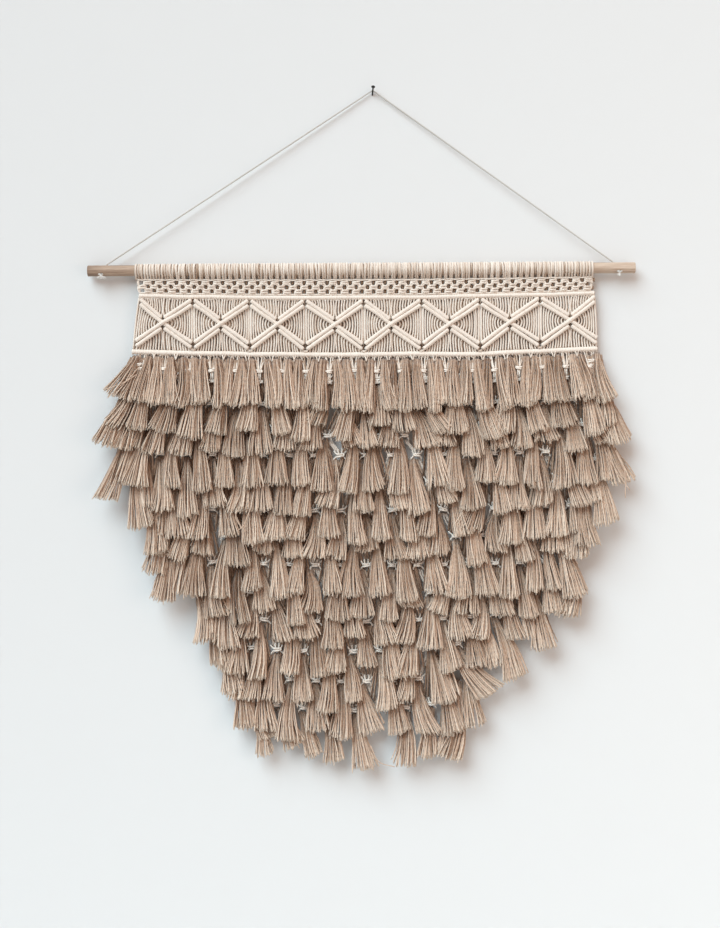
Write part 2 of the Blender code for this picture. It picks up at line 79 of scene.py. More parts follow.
# Lines across the panel: left and right end, height at the ends, how far the middle hangs lower,
# and how far the line dips once more at DIP_X
Line = namedtuple("Line", "left right z drop dip", defaults=(0.0,))
BAND_TOP = Line(-0.4355, 0.4040, -0.33503, 0.0015)
BAND_FOOT = Line(-0.4310, 0.3990, -0.36400, 0.0055)
UPPER_BAR_FOOT = Line(-0.4305, 0.4050, -0.37280, 0.0050)
LOWER_BAR_TOP = Line(-0.4430, 0.4095, -0.46550, 0.0085, 0.0026)
LOWER_BAR_FOOT = Line(-0.4440, 0.4100, -0.47350, 0.0085, 0.0026)
DIP_X = 0.175
DIP_WIDTH = 0.060

PANEL_Y = DOWEL_Y
HANG_SLOPE = 0.0135

RIDGE_TOP_ENDS = (-0.4285, 0.4060)
RIDGE_FOOT_ENDS = (-0.4375, 0.4095)
RIDGE_APEXES = (-0.3302, -0.2267, -0.1255, -0.0185, 0.0877, 0.1944, 0.3038)
RIDGE_CROSSINGS = (-0.3853, -0.2793, -0.1760, -0.0709, 0.0315, 0.1384, 0.2483, 0.3587)

# Net and tassels. A row has its first and last column, its height in the middle and rise at the ends,
# the length of its tassels, and how far those at the left and right end lean.
COLUMN_X = -0.0161
PITCH = 0.0468
HEADING_LEFT = -0.4360
HEADING_RIGHT = 0.4020
TOP_ROW_PITCH = 0.0215
Row = namedtuple("Row", "first last z rise length lean_left lean_right")
TOP_ROW = Row(0, 39, -0.4871, 0.0085, 0.089, -0.040, 0.026)
NET_ROWS = (
    Row(-9, 10, -0.5300, 0.0085, 0.097, -0.042, 0.027),
    Row(-9, 9, -0.5757, 0.0085, 0.083, -0.030, 0.046),
    Row(-9, 10, -0.6214, 0.0080, 0.102, -0.025, 0.013),
    Row(-9, 9, -0.6690, 0.0080, 0.097, 0.006, 0.026),
    Row(-8, 9, -0.7183, 0.0080, 0.099, 0.008, 0.008),
    Row(-8, 8, -0.7695, 0.0080, 0.085, -0.026, 0.024),
    Row(-7, 8, -0.8189, 0.0080, 0.104, -0.022, 0.018),
    Row(-6, 8, -0.8700, 0.0080, 0.091, 0.010, -0.006),
    Row(-6, 7, -0.9212, 0.0090, 0.088, 0.004, 0.024),
    Row(-6, 5, -0.9724, 0.0120, 0.093, -0.004, 0.027),
    Row(-5, 4, -1.0272, 0.0130, 0.093, -0.010, 0.018),
    Row(-5, 4, -1.0821, 0.0150, 0.093, -0.006, 0.012),
    Row(-4, 4, -1.1351, 0.0200, 0.093, 0.008, -0.008),
)
BARE_KNOT = (14, 1)  # row and column of the one knot with no tassel
NET_DEPTH = 0.0040
TASSEL_DEPTH = 0.0085
TASSEL_FLARE = 0.047
TASSEL_LEAN = 0.28

CORD_COUNT = 158
CREAM_RADIUS = 0.00185
HEAD_RADIUS = 0.00195
HEAD_FLAT = 0.65


# Materials


class Shading:
    """The nodes of one material, or of the world, with a short call for each kind used here."""

    def __init__(self, tree):
        self.nodes, self.links = tree.nodes, tree.links

    def fill(self, node, inputs):
        for socket, value in dict(inputs).items():
            if isinstance(value, bpy.types.NodeSocket):
                self.links.new(value, node.inputs[socket])
            else:
                node.inputs[socket].default_value = value
        return node

    def add(self, kind, inputs=()):
        return self.fill(self.nodes.new("ShaderNode" + kind), inputs)

    def principled(self, **inputs):
        """Sets the shader's inputs; a name's underscores stand for spaces."""
        self.fill(self.nodes["Principled BSDF"], {k.replace("_", " "): v for k, v in inputs.items()})

    def math(self, operation, *values, clamp=False):
        node = self.add("Math", enumerate(values))
        node.operation, node.use_clamp = operation, clamp
        return node.outputs[0]

    def scaled(self, value, factor, shift):
        return self.math("MULTIPLY_ADD", value, factor, shift)

    def total(self, first, *others):
        """The sum of the values, held between 0 and 1."""
        for other in others:
            first = self.math("ADD", first, other, clamp=other is others[-1])
        return first

    def axis(self, vector, name):
        return self.add("SeparateXYZ", {0: vector}).outputs[name]

    def fit(self, value, low, high, to_low, to_high):
        sockets = ("Value", "From Min", "From Max", "To Min", "To Max")
        return self.add("MapRange", zip(sockets, (value, low, high, to_low, to_high))).outputs["Result"]

    def noise(self, vector, scale, detail=2.0):
        return self.add("TexNoise", {"Vector": vector, "Scale": scale, "Detail": detail}).outputs["Fac"]

    def bump(self, height, strength, distance):
        node = self.add("Bump", {"Height": height, "Strength": strength, "Distance": distance})
        return node.outputs["Normal"]

    def ramp(self, fac, stops):
        node = self.add("ValToRGB", {"Fac": fac})
        elements = node.color_ramp.elements
        while len(elements) < len(stops):
            elements.new(0.5)
        for element, (at, colour) in zip(elements, stops):
            element.position = at
            element.color = (*colour, 1.0)
        return node.outputs["Color"]


def new_material(name):
    made = bpy.data.materials.new(name)
    made.use_nodes = True
    return made, Shading(made.node_tree)


def yarn(name, stops, pale, plies, lay, sheen=0.25):
    """Cotton yarn: colour by each strand's tone, which carries painted shade in places; pale cut ends, partly
    open fibres and partly a painted highlight; plies twisted with the given lay.
    """
    made, paint = new_material(name)
    place = paint.add("TexCoord").outputs
    tone, cut = paint.add("Attribute"), paint.add("Attribute")
    tone.attribute_name, cut.attribute_name = "tone", "cut"
    turn = paint.math("MULTIPLY", paint.axis(place["UV"], "X"), float(plies))
    run = paint.math("DIVIDE", paint.axis(place["UV"], "Y"), lay)
    angle = paint.math("MULTIPLY", paint.math("ADD", turn, run), 2 * math.pi)
    groove = paint.scaled(paint.math("SINE", angle), 0.5, 0.5)
    fuzz = paint.noise(place["Object"], 1400.0, 3.0)
    drift = paint.noise(place["Object"], 38.0)
    level = paint.total(
        tone.outputs["Fac"],
        paint.scaled(drift, 0.30, -0.15),
        paint.scaled(fuzz, 0.16, -0.08),
        # painted shade: the grooves between the plies are darker
        paint.scaled(groove, 0.16, -0.10),
    )
    mix = paint.add("Mix")
    mix.data_type = "RGBA"
    paint.fill(mix, {"Factor": cut.outputs["Fac"], "A": paint.ramp(level, stops), "B": (*pale, 1.0)})
    paint.principled(
        Base_Color=mix.outputs["Result"],
        Normal=paint.bump(paint.math("MULTIPLY_ADD", fuzz, 0.5, groove), 0.45, 0.0005),
        Roughness=0.92,
        Sheen_Weight=sheen,
        Sheen_Roughness=0.6,
        Specular_IOR_Level=0.15,
    )
    return made


def wood():
    made, paint = new_material("dowel_beech")
    place = paint.add("TexCoord").outputs["Object"]
    along_grain = paint.add("Mapping", {"Vector": place, "Scale": (5.0, 95.0, 95.0)}).outputs["Vector"]
    pores = paint.noise(along_grain, 16.0)
    x = paint.axis(place, "X")
    level = paint.total(
        paint.scaled(pores, 0.25, -0.12),
        paint.noise(along_grain, 3.0, 6.0),
        paint.fit(x, DOWEL_LEFT, DOWEL_RIGHT, -0.10, 0.12),
        paint.fit(x, DOWEL_LEFT, DOWEL_LEFT + 0.030, -0.16, 0.0),
    )
    stops = ((0.25, (0.235, 0.155, 0.105)), (0.50, (0.425, 0.302, 0.220)), (0.75, (0.600, 0.475, 0.375)))
    colour = paint.ramp(level, stops)
    paint.principled(Base_Color=colour, Normal=paint.bump(pores, 0.35, 0.0004), Roughness=0.62)
    return made


def black_steel():
    made, paint = new_material("nail_black")
    marks = paint.noise(paint.add("TexCoord").outputs["Object"], 700.0, 3.0)
    stops = ((0.3, (0.008, 0.008, 0.009)), (0.7, (0.030, 0.029, 0.028)))
    rough = paint.scaled(marks, 0.3, 0.30)
    paint.principled(Base_Color=paint.ramp(marks, stops), Roughness=rough, Metallic=0.6)
    return made


# The lowest stops are dark warm browns: the colour of the painted shade that lowered tones give
CREAM_STOPS = (
    (0.0, (0.340, 0.225, 0.150)),
    (0.22, (0.600, 0.485, 0.395)),
    (0.5, (0.755, 0.655, 0.570)),
    (1.0, (0.850, 0.775, 0.695)),
)
# its lowest stop too is the colour of painted shade
TAUPE_STOPS = (
    (0.0, (0.190, 0.102, 0.058)),
    (0.35, (0.400, 0.262, 0.180)),
    (0.65, (0.570, 0.408, 0.302)),
    (1.0, (0.760, 0.592, 0.465)),
)
GREY_STOPS = ((0.0, (0.40, 0.375, 0.345)), (1.0, (0.66, 0.63, 0.59)))
WRAP_PITCH = 0.0030
CREAM = yarn("cream_yarn", CREAM_STOPS, (0.90, 0.86, 0.80), plies=3, lay=0.011)
WRAPS = yarn("cream_wraps", CREAM_STOPS, (0.90, 0.86, 0.80), plies=1, lay=-WRAP_PITCH)
TAUPE = yarn("taupe_yarn", TAUPE_STOPS, (0.80, 0.67, 0.54), plies=2, lay=0.009)
TWINE = yarn("twine", GREY_STOPS, (0.90, 0.88, 0.85), plies=3, lay=0.009, sheen=0.15)


# Tubes


def unit(v):
    return v / np.maximum(np.linalg.norm(v, axis=-1, keepdims=True), 1e-12)


def tube_frames(paths):
    """Two directions square to each path at each of its points, carried along it without twist."""
    t = unit(np.gradient(paths, axis=1))
    along_y = np.abs(t[:, 0, 1:2]) > 0.9
    ref = np.where(along_y, (1.0, 0.0, 0.0), (0.0, 1.0, 0.0))
    u = unit(np.cross(t[:, 0], ref))
    us = [u]
    for k in range(1, paths.shape[1]):
        u = u - np.sum(u * t[:, k], axis=-1, keepdims=True) * t[:, k]
        u = unit(u)
        us.append(u)
    us = np.stack(us, axis=1)
    return us, np.cross(t, us)


class Bundle:
    """Tubes gathered into one mesh. Each point keeps its yarn's tone, which carries painted shade in places,
    and how far it is a pale cut end.
    """

    def __init__(self):
        self.points, self.tones, self.cuts = [], [], []
        self.corners, self.places, self.sizes = [], [], []
        self.count = 0

    def add(self, paths, radius, sides, tone, cut=0.0, lobes=0, lobe_lay=0.01, lobe_depth=0.0, flat=1.0):
        """Adds tubes along the paths. Lobes are plies that stand out and wind with the given lay."""
        paths = np.asarray(paths, dtype=float)
        if paths.ndim == 2:
            paths = paths[None]
        n, m, _ = paths.shape
        us, vs = tube_frames(paths)
        radius = spread(radius, n, m)
        run = np.zeros((n, m))
        run[:, 1:] = np.cumsum(np.linalg.norm(np.diff(paths, axis=1), axis=-1), axis=1)
        turn = 2 * math.pi * np.arange(sides) / sides
        rim = np.broadcast_to(radius[:, :, None], (n, m, sides)).copy()
        if lobes:
            rim *= 1 + lobe_depth * np.cos(lobes * (turn - 2 * math.pi * run[:, :, None] / lobe_lay))
        ring = np.cos(turn)[:, None] * us[:, :, None] + flat * np.sin(turn)[:, None] * vs[:, :, None]
        points = paths[:, :, None] + rim[..., None] * ring
        self.points.append(points.reshape(-1, 3))
        self.tones.append(np.repeat(spread(tone, n, m).ravel(), sides))
        self.cuts.append(np.repeat(spread(cut, n, m).ravel(), sides))
        start = self.count + (np.arange(n)[:, None] * m + np.arange(m)) * sides
        k = np.arange(sides)
        after = (k + 1) % sides
        low, high = start[:, :-1, None], start[:, 1:, None]
        quads = np.stack([low + k, low + after, high + after, high + k], axis=-1)
        u0 = np.broadcast_to(k / sides, (n, m - 1, sides))
        u1 = u0 + 1 / sides
        v0 = np.broadcast_to(run[:, :-1, None], u0.shape)
        v1 = np.broadcast_to(run[:, 1:, None], u0.shape)
        uv = np.stack([u0, v0, u1, v0, u1, v1, u0, v1], axis=-1)
        self.corners.append(quads.ravel())
        self.places.append(uv.reshape(-1, 2))
        self.sizes.append(np.full(n * (m - 1) * sides, 4))
        caps = np.concatenate([start[:, 0, None] + k[::-1], start[:, -1, None] + k], axis=0)
        self.corners.append(caps.ravel())
        self.places.append(np.full((caps.size, 2), 0.5))
        self.sizes.append(np.full(2 * n, sides))
        self.count += n * m * sides

    def make(self, name, material):
        mesh = bpy.data.meshes.new(name)
        points = np.concatenate(self.points)
        corners = np.concatenate(self.corners)
        sizes = np.concatenate(self.sizes)
        starts = np.concatenate([[0], np.cumsum(sizes)[:-1]])
        mesh.vertices.add(len(points))
        mesh.vertices.foreach_set("co", points.astype(np.float32).ravel())
        mesh.loops.add(len(corners))
        mesh.loops.foreach_set("vertex_index", corners.astype(np.int32))
        mesh.polygons.add(len(sizes))
        mesh.polygons.foreach_set("loop_start", starts.astype(np.int32))
        mesh.update(calc_edges=True)
        mesh.shade_smooth()
        layer = mesh.uv_layers.new(name="UVMap")
        layer.uv.foreach_set("vector", np.concatenate(self.places).astype(np.float32).ravel())
        for label, values in (("tone", self.tones), ("cut", self.cuts)):
            attribute = mesh.attributes.new(label, "FLOAT", "POINT")
            attribute.data.foreach_set("value", np.concatenate(values).astype(np.float32))
        mesh.materials.append(material)
        piece = bpy.data.objects.new(name, mesh)
        bpy.context.scene.collection.objects.link(piece)
        return piece


def stack(x, y, z):
    return np.stack(np.broadcast_arrays(x, y, z), axis=-1)


def spread(value, n, m):
    """A number, one for each tube, or one for each point, as an array of n tubes by m points."""
    value = np.asarray(value, dtype=float)
    if value.ndim == 1:
        value = value[:, None] if len(value) == n and n != m else value[None, :]
    return np.broadcast_to(value, (n, m)) if value.ndim else np.full((n, m), float(value))


def through(points, steps):
    """A Catmull-Rom curve through each path's points, with the given steps between two of them."""
    p = np.asarray(points, dtype=float)
    if p.ndim == 2:
        p = p[None]
    ends = np.concatenate([2 * p[:, :1] - p[:, 1:2], p, 2 * p[:, -1:] - p[:, -2:-1]], axis=1)
    a, b, c, d = ends[:, :-3], ends[:, 1:-2], ends[:, 2:-1], ends[:, 3:]
    t = (np.arange(steps) / steps)[None, None, :, None]
    a, b, c, d = (x[:, :, None] for x in (a, b, c, d))
    curve = 0.5 * (2 * b + (c - a) * t + (2 * a - 5 * b + 4 * c - d) * t**2 + (3 * b - a - 3 * c + d) * t**3)
    n = p.shape[0]
    return np.concatenate([curve.reshape(n, -1, 3), p[:, -1:]], axis=1)


def bezier(p0, p1, p2, p3, count):
    t = np.linspace(0, 1, count)[None, :, None]
    p0, p1, p2, p3 = (np.asarray(p, dtype=float)[:, None] for p in (p0, p1, p2, p3))
    s = 1 - t
    return s**3 * p0 + 3 * s**2 * t * p1 + 3 * s * t**2 * p2 + t**3 * p3


def straight(p0, p3, count):
    return p0[:, None] + (p3 - p0)[:, None] * np.linspace(0, 1, count)[None, :, None]


def hang(x, y, z):
    """Points of the panel, with y from its middle plane, swung back towards the wall below the dowel."""
    return stack(x, PANEL_Y + np.asarray(y, dtype=float) + HANG_SLOPE * (DOWEL_Z - z), z)


def off_middle(x, left, right):
    """How far x lies from the middle, as a share of the way to an end, squared."""
    return ((x - (left + right) / 2) / ((right - left) / 2)) ** 2


def line_z(line, x):
    dip = line.dip * np.exp(-(((x - DIP_X) / DIP_WIDTH) ** 2))
    return line.z - line.drop * (1 - off_middle(x, line.left, line.right)) - dip


def finish_piece(bundle, name, material, node):
    """The bundle as a piece of the visual model, in place of its CAD node."""
    piece = bundle.make(name, material)
    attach(piece, "root")
    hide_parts(node)
    return piece


# Camera

PHOTO_MIDDLE = (-0.0267, -0.678)
PHOTO_HEIGHT = 1.696
CAMERA_DISTANCE = 3.0
PHOTO_ROLL = math.radians(0.341)


def camera():
    data = bpy.data.cameras.new("camera")
    data.lens = data.sensor_width * CAMERA_DISTANCE / PHOTO_HEIGHT
    made = bpy.data.objects.new("camera", data)
    made.location = (PHOTO_MIDDLE[0], DOWEL_Y - CAMERA_DISTANCE, PHOTO_MIDDLE[1])
    made.rotation_euler = (math.pi / 2, PHOTO_ROLL, 0.0)
    bpy.context.scene.collection.objects.link(made)
    bpy.context.scene.camera = made


# Hanging cord


def hole_points(hole):
    forward = math.sqrt(DOWEL_RADIUS**2 - hole.exit_drop**2)
    entry = np.array((hole.entry_x, DOWEL_Y, DOWEL_Z + DOWEL_RADIUS))
    leave = np.array((hole.exit_x, DOWEL_Y - forward, DOWEL_Z - hole.exit_drop))
    return entry, leave


def cord_run(hole):
    """One half of the cord's route, from its end inside a hole up to the nail."""
    entry, leave = hole_points(hole)
    bore = unit(leave - entry)
    bend = entry - bore * CORD_RIM_LIFT
    side = -1 if hole.side == "left" else 1
    axis = unit(NAIL_TIP)
    reach = NAIL_RADIUS + CORD_RADIUS + CORD_GAP
    lift = unit(np.array((0.0, -axis[2], axis[1]))) * -reach
    top = axis * ((CORD_TOP_Z - lift[2]) / axis[2]) + lift
    slope = math.atan2(top[2] - bend[2], abs(bend[0] - top[0]))
    around = -lift[2] * (1 - math.cos(slope))
    touch = top + np.array((side * reach * math.sin(slope), 0.0, around))
    from_exit, from_mouth = CORD_BORE_POINTS
    points = [leave - bore * CORD_END_DEPTH, leave - bore * from_exit, entry + bore * from_mouth, bend]
    points += [touch + (bend - touch) * share for share in CORD_SPAN_SHARES]
    return points + [touch], top


def resample(path, step):
    """The path again, with points a step apart."""
    gaps = np.linalg.norm(np.diff(path, axis=0), axis=-1)
    run = np.concatenate([[0.0], np.cumsum(gaps)])
    at = np.linspace(0.0, run[-1], int(run[-1] / step) + 2)
    return np.stack([np.interp(at, run, path[:, k]) for k in range(3)], axis=-1), run[-1]


# A stop knot: half its width, then how far its frayed ends spread, hang and lie aside, and their count
StopKnot = namedtuple("StopKnot", "size spread drop aside frays")
STOP_KNOTS = (StopKnot(0.0021, 0.0095, 0.0085, 0.001, 34), StopKnot(0.0023, 0.0030, 0.0080, -0.002, 18))


def overhand_knot(bundle, hole, rng, knot):
    """A stop knot against the dowel: a round of the cord over itself, and its frayed end."""
    _, leave = hole_points(hole)
    outward = unit(leave - np.array((leave[0], DOWEL_Y, DOWEL_Z)))
    across = np.array((1.0, 0.0, 0.0))
    up = np.cross(outward, across)
    seat = leave + outward * 0.0026
    t = np.linspace(0.0, 2 * math.pi, 40)
    loop = (
        knot.size * (np.sin(t) + 0.9 * np.sin(2 * t)),
        knot.size * 0.75 * (np.cos(t) - 0.9 * np.cos(2 * t)),
        -knot.size * 0.42 * np.sin(3 * t),
    )
    path = seat + sum(c[:, None] * d for c, d in zip(loop, (across, up, outward)))
    bundle.add(path, CORD_RADIUS * 0.82, sides=8, tone=0.8, lobes=3, lobe_lay=0.007, lobe_depth=0.10)
    start = np.broadcast_to(seat, (knot.frays, 3))
    sideways = knot.spread * rng.uniform(-1, 1, knot.frays)[:, None] * across
    downward = knot.drop * rng.uniform(0.5, 1.0, knot.frays)[:, None] * np.array((0.0, -0.25, -1.0))
    end = start + sideways + downward + knot.aside * across
    first = start + outward * 0.002 + (end - start) * 0.25
    second = end + rng.uniform(-1, 1, (knot.frays, 3)) * 0.0016
    bundle.add(bezier(start, first, second, end, 7), 0.00038, sides=4, tone=0.95, cut=np.linspace(0.3, 1, 7))


def hanging_cord():
    left, top = cord_run(HOLES[0])
    right, _ = cord_run(HOLES[1])
    rough = through(np.array(left + [top] + right[::-1]), 4)[0]
    route, length = resample(rough, 0.0022)
    cord = Bundle()
    cord.add(route, CORD_RADIUS * 0.94, sides=8, tone=0.5, lobes=3, lobe_lay=0.0105, lobe_depth=0.07)
    made = finish_piece(cord, "hanging_twine", TWINE, "hanging_cord")
    rng = np.random.default_rng(11)
    for hole, knot in zip(HOLES, STOP_KNOTS):
        bundle = Bundle()
        overhand_knot(bundle, hole, rng, knot)
        name, node = f"stop_knot_{hole.side}", f"knot_{hole.side}"
        finish_piece(bundle, name, TWINE, node)
    path, _ = resample(rough, 0.006)
    tuple(path[0])
    [tuple(p) for p in path]


# Heading


HEAD_COUNT = CORD_COUNT // 2
EVEN_HEADS = 5  # this many heads at each end lie evenly
# The last two points of a head's cords: out from the panel, and rise over the band's top
HEAD_FEET = ((0.0038, 0.0008), (0.0022, -0.0046))
# Painted shade along a cord, as point numbers and values: the heads' own cords, and those between. Both are
# lighter over the dowel and darker down towards their feet.
HEAD_PAINTED_SHADE = ((0, 6, 12, 15), (0.12, 0.04, -0.10, -0.26))
BETWEEN_PAINTED_SHADE = ((0, 5, 8, 9), (0.10, 0.0, -0.30, -0.80))


def round_dowel(x, ring, turn):
    """Points round the dowel. The turn counts from its back, over its top, to its front."""
    return stack(x, DOWEL_Y + ring * np.cos(turn), DOWEL_Z + ring * np.sin(turn))


def larks_heads():
    """Each head is a cord doubled over the dowel: its loop lies behind, its two ends fall in front."""
    rng = np.random.default_rng(3)
    heads = Bundle()
    number = np.arange(HEAD_COUNT)
    middle = HEADING_LEFT + (HEADING_RIGHT - HEADING_LEFT) / HEAD_COUNT * (number + 0.5)
    inner = np.minimum(number, HEAD_COUNT - 1 - number) >= EVEN_HEADS
    middle = middle + inner * rng.normal(0, 0.0006, HEAD_COUNT)
    slant = inner * rng.normal(0, 0.0010, HEAD_COUNT)
    half_top = np.where(inner, 0.00225, 0.0026) + inner * rng.normal(0, 0.00035, HEAD_COUNT)
    half_foot = np.where(inner, 0.00175, 0.0026) + inner * rng.normal(0, 0.00022, HEAD_COUNT)
    turn = np.radians(np.linspace(-62, 240, 14))
    fall = np.clip((turn - math.pi / 2) / (math.pi * 0.85), 0, 1)
    ring = DOWEL_RADIUS + 0.0003 + HEAD_RADIUS * HEAD_FLAT
    for side in (-1, 1):
        half = half_top[:, None] + (half_foot - half_top)[:, None] * fall
        x = middle[:, None] + side * half + slant[:, None] * (fall - 0.5)
        bow = 0.0005 * np.sin(math.pi * fall) * rng.normal(0, 1, HEAD_COUNT)[:, None]
        foot = [stack(x[:, -1:], PANEL_Y - out, BAND_TOP.z + rise) for out, rise in HEAD_FEET]
        path = np.concatenate([round_dowel(x + bow, ring, turn), *foot], axis=1)
        # painted shade: the cords darken towards their feet
        shade = np.interp(np.arange(path.shape[1]), *HEAD_PAINTED_SHADE)
        tone = 0.54 + 0.12 * rng.normal(size=(HEAD_COUNT, 1)) + shade
        heads.add(path, HEAD_RADIUS, sides=6, tone=tone, flat=HEAD_FLAT)
    # the rounds of cord between the pairs lie a little deeper, and are painted darker than the heads as
    # painted shade
    between = (middle[1:] + middle[:-1])[:, None] / 2
    body = round_dowel(between, ring - 0.0004, np.radians(np.linspace(-10, 232, 9)))
    path = np.concatenate([body, stack(between, PANEL_Y + 0.0016, BAND_TOP.z - 0.0012)], axis=1)
    shade = np.interp(np.arange(path.shape[1]), *BETWEEN_PAINTED_SHADE)
    tone = 0.36 + 0.10 * rng.normal(size=(HEAD_COUNT - 1, 1)) + shade
    heads.add(path, HEAD_RADIUS * 0.85, sides=5, tone=tone, flat=HEAD_FLAT)
    # the loop of each head, across its two cords low behind the dowel
    start = round_dowel(middle - 0.0045, ring + 0.0016, math.radians(-60))
    end = start + np.array((0.009, 0.0, 0.0))
    lift = np.array((0.0, 0.0008, -0.0008))
    heads.add(bezier(start, start + lift, end + lift, end, 6), CREAM_RADIUS * 0.95, sides=6, tone=0.5)
    finish_piece(heads, "larks_heads", CREAM, "heading")


# Square knots

# Paths of one round square knot, in thousandths of a metre: across, out towards the viewer, and up
OVER = (
    (-8.3, -0.6, 3.9), (-6.6, 2.2, 2.7), (-3.0, 3.7, 2.0),
    (0.5, 3.9, 1.8), (4.2, 3.0, 1.9), (7.2, 0.4, 1.4),
)
UNDER = (
    (7.6, -0.4, -0.6), (6.6, 2.4, -1.5), (3.0, 3.6, -2.1),
    (-0.5, 3.8, -2.3), (-4.2, 2.9, -2.2), (-7.4, -0.4, -3.4),
)
EAR = ((6.0, 1.6, 2.9), (7.4, 2.9, 1.6), (7.6, 3.0, 0.0), (7.2, 2.7, -1.6), (5.8, 1.4, -3.0))


def square_knots(bundle, x, z, rng, scale=1.0, radius=CREAM_RADIUS, sides=6, tone=0.55, steps=2, out=0.0):
    """Square knots at the places (x, z) of the panel."""
    n = len(x)
    flip = np.where(rng.random(n) < 0.5, -1.0, 1.0)
    grow = scale * (1 + 0.05 * rng.normal(size=n))
    tilt = 0.09 * rng.normal(size=n)
    level = tone + 0.10 * rng.normal(size=n)
    for shape, give in ((OVER, 1.0), (UNDER, 1.0), (EAR, 0.95)):
        shape = np.array(shape) / 1000
        across = shape[:, 0] * flip[:, None] * grow[:, None]
        up = shape[:, 2] * grow[:, None] + tilt[:, None] * across
        deep = np.broadcast_to(shape[:, 1], across.shape) * scale + out
        path = hang(x[:, None] + across, -deep, z[:, None] + up)
        bundle.add(through(path, steps), radius * give, sides=sides, tone=level)


# The band's three rows of flat square knots: height below the band's top as a share, then the two
# passes of cord over each knot as height in its middle and at its sides, in thousandths of a metre
BandRow = namedtuple("BandRow", "down first upper lower")
BAND_ROWS = (
    BandRow(down=0.290, first=4, upper=(0.6, 1.4), lower=(-3.2, -1.0)),
    BandRow(down=0.575, first=2, upper=(2.1, 0.9), lower=(-2.3, -0.9)),
    BandRow(down=0.800, first=4, upper=(2.1, 0.9), lower=(-2.3, -1.0)),
)
KNOT_PASS = ((-1.0, 0.0), (-0.80, 1.7), (-0.38, 2.9), (0.0, 3.2), (0.38, 2.9), (0.80, 1.7), (1.0, 0.0))
KNOT_HALF = 0.0063
KNOT_SPACING = 4  # cords from one knot to the next
BAND_CORD = 0.00172
# Loops down both edges: start and end as shares of the band's height, and how far they swell out
EDGE_LOOPS = ((0.16, 0.56, 0.0020), (0.44, 0.98, 0.0030), (0.20, 0.98, 0.0008))


def band_place(share_across, share_down):
    left = BAND_TOP.left + (BAND_FOOT.left - BAND_TOP.left) * share_down
    right = BAND_TOP.right + (BAND_FOOT.right - BAND_TOP.right) * share_down
    x = left + (right - left) * share_across
    return x, line_z(BAND_TOP, x) + (line_z(BAND_FOOT, x) - line_z(BAND_TOP, x)) * share_down


def knot_band():
    """Three rows of alternating flat square knots, the wavy cord over them, and loops at both edges."""
    rng = np.random.default_rng(5)
    band = Bundle()
    along, out = np.array(KNOT_PASS).T
    out = out / 1000
    dome = 1 - along**2
    for number, row in enumerate(BAND_ROWS):
        cords = np.arange(row.first, CORD_COUNT - 1, KNOT_SPACING)
        x, z = band_place(cords / CORD_COUNT, row.down)
        x = x + rng.normal(0, 0.0003, len(x))
        for passed, (centre, sides) in enumerate((row.upper, row.lower)):
            slant = (0.0005 if passed == 0 else -0.0004) + rng.normal(0, 0.0003, (len(x), 1))
            height = (sides + (centre - sides) * dome) / 1000 + slant * along
            half = KNOT_HALF * (1 + rng.normal(0, 0.03, (len(x), 1)))
            path = hang(x[:, None] + along * half, -out - 0.0006, z[:, None] + height)
            band.add(through(path, 2), BAND_CORD, sides=6, tone=0.58 + 0.10 * rng.normal(size=len(x)))
        # the cord that shows between the two passes, slanting behind them
        core = np.array((-0.75, -0.2, 0.2, 0.75))
        tilt = np.array((1.3, 0.5, -0.5, -1.3)) / 1000
        path = hang(x[:, None] + core * KNOT_HALF, np.full(4, -0.0012), z[:, None] + tilt)
        band.add(path, BAND_CORD * 0.9, sides=5, tone=0.55)
        if number + 1 < len(BAND_ROWS):
            below = BAND_ROWS[number + 1]
            half_pitch = (BAND_TOP.right - BAND_TOP.left) * KNOT_SPACING / CORD_COUNT / 2
            for side in (-1, 1):
                x1 = x + side * half_pitch
                z1 = band_place((cords + side * KNOT_SPACING / 2) / CORD_COUNT, below.down)[1]
                for shift in (-0.0015, 0.0015):
                    p0 = hang(x + side * (0.0036 + shift), -0.0020, z - 0.0020)
                    p3 = hang(x1 - side * (0.0036 - shift), -0.0020, z1 + 0.0018)
                    band.add(straight(p0, p3, 3), BAND_CORD * 1.08, sides=5, tone=0.62)
        else:
            for across in (-0.0060, -0.0022, 0.0022, 0.0060):
                foot = line_z(BAND_FOOT, x + across) - 0.0010
                p0, p3 = hang(x + across * 0.9, -0.0016, z - 0.0012), hang(x + across, -0.0012, foot)
                band.add(straight(p0, p3, 3), BAND_CORD, sides=5, tone=0.62)
        # a cord painted very dark behind each hole: painted shade, where the hole would show only shade
        x, z = band_place((cords + KNOT_SPACING / 2) / CORD_COUNT, row.down)
        p0, p3 = hang(x, 0.0026, z + 0.0034), hang(x, 0.0026, z - 0.0034)
        band.add(straight(p0, p3, 2), 0.0026, sides=5, tone=-0.25)
    # the wavy cord: it arches over the first knots and dips over the holes between them
    count = (CORD_COUNT // KNOT_SPACING) * 8
    across = np.linspace(0.004, 0.996, count)
    x, z = band_place(across, BAND_ROWS[0].down)
    wave = np.abs(np.cos(math.pi * (across * CORD_COUNT - BAND_ROWS[0].first) / KNOT_SPACING))
    band.add(hang(x, -0.0026, z + 0.0037 + 0.0009 * wave), 0.00140, sides=6, tone=0.66)
    band.add(hang(x, 0.0004, z + 0.0050), 0.0012, sides=4, tone=0.30)
    # the cord along the foot, just over the bar
    x, z = band_place(np.linspace(0.004, 0.996, 120), 1.0)
    band.add(hang(x, -0.0014, z + 0.0012), 0.00150, sides=6, tone=0.55)
    for share, side in ((0.006, -1), (0.994, 1)):
        for low, high, swell in EDGE_LOOPS:
            x, z = band_place(np.full(8, share), np.linspace(low, high, 8))
            bulge = side * swell * np.sin(np.linspace(0, math.pi, 8))
            band.add(hang(x + bulge, -0.0008, z), BAND_CORD, sides=6, tone=0.55)
    finish_piece(band, "square_knot_band", CREAM, "knot_band")


# Wrapped bars and ropes


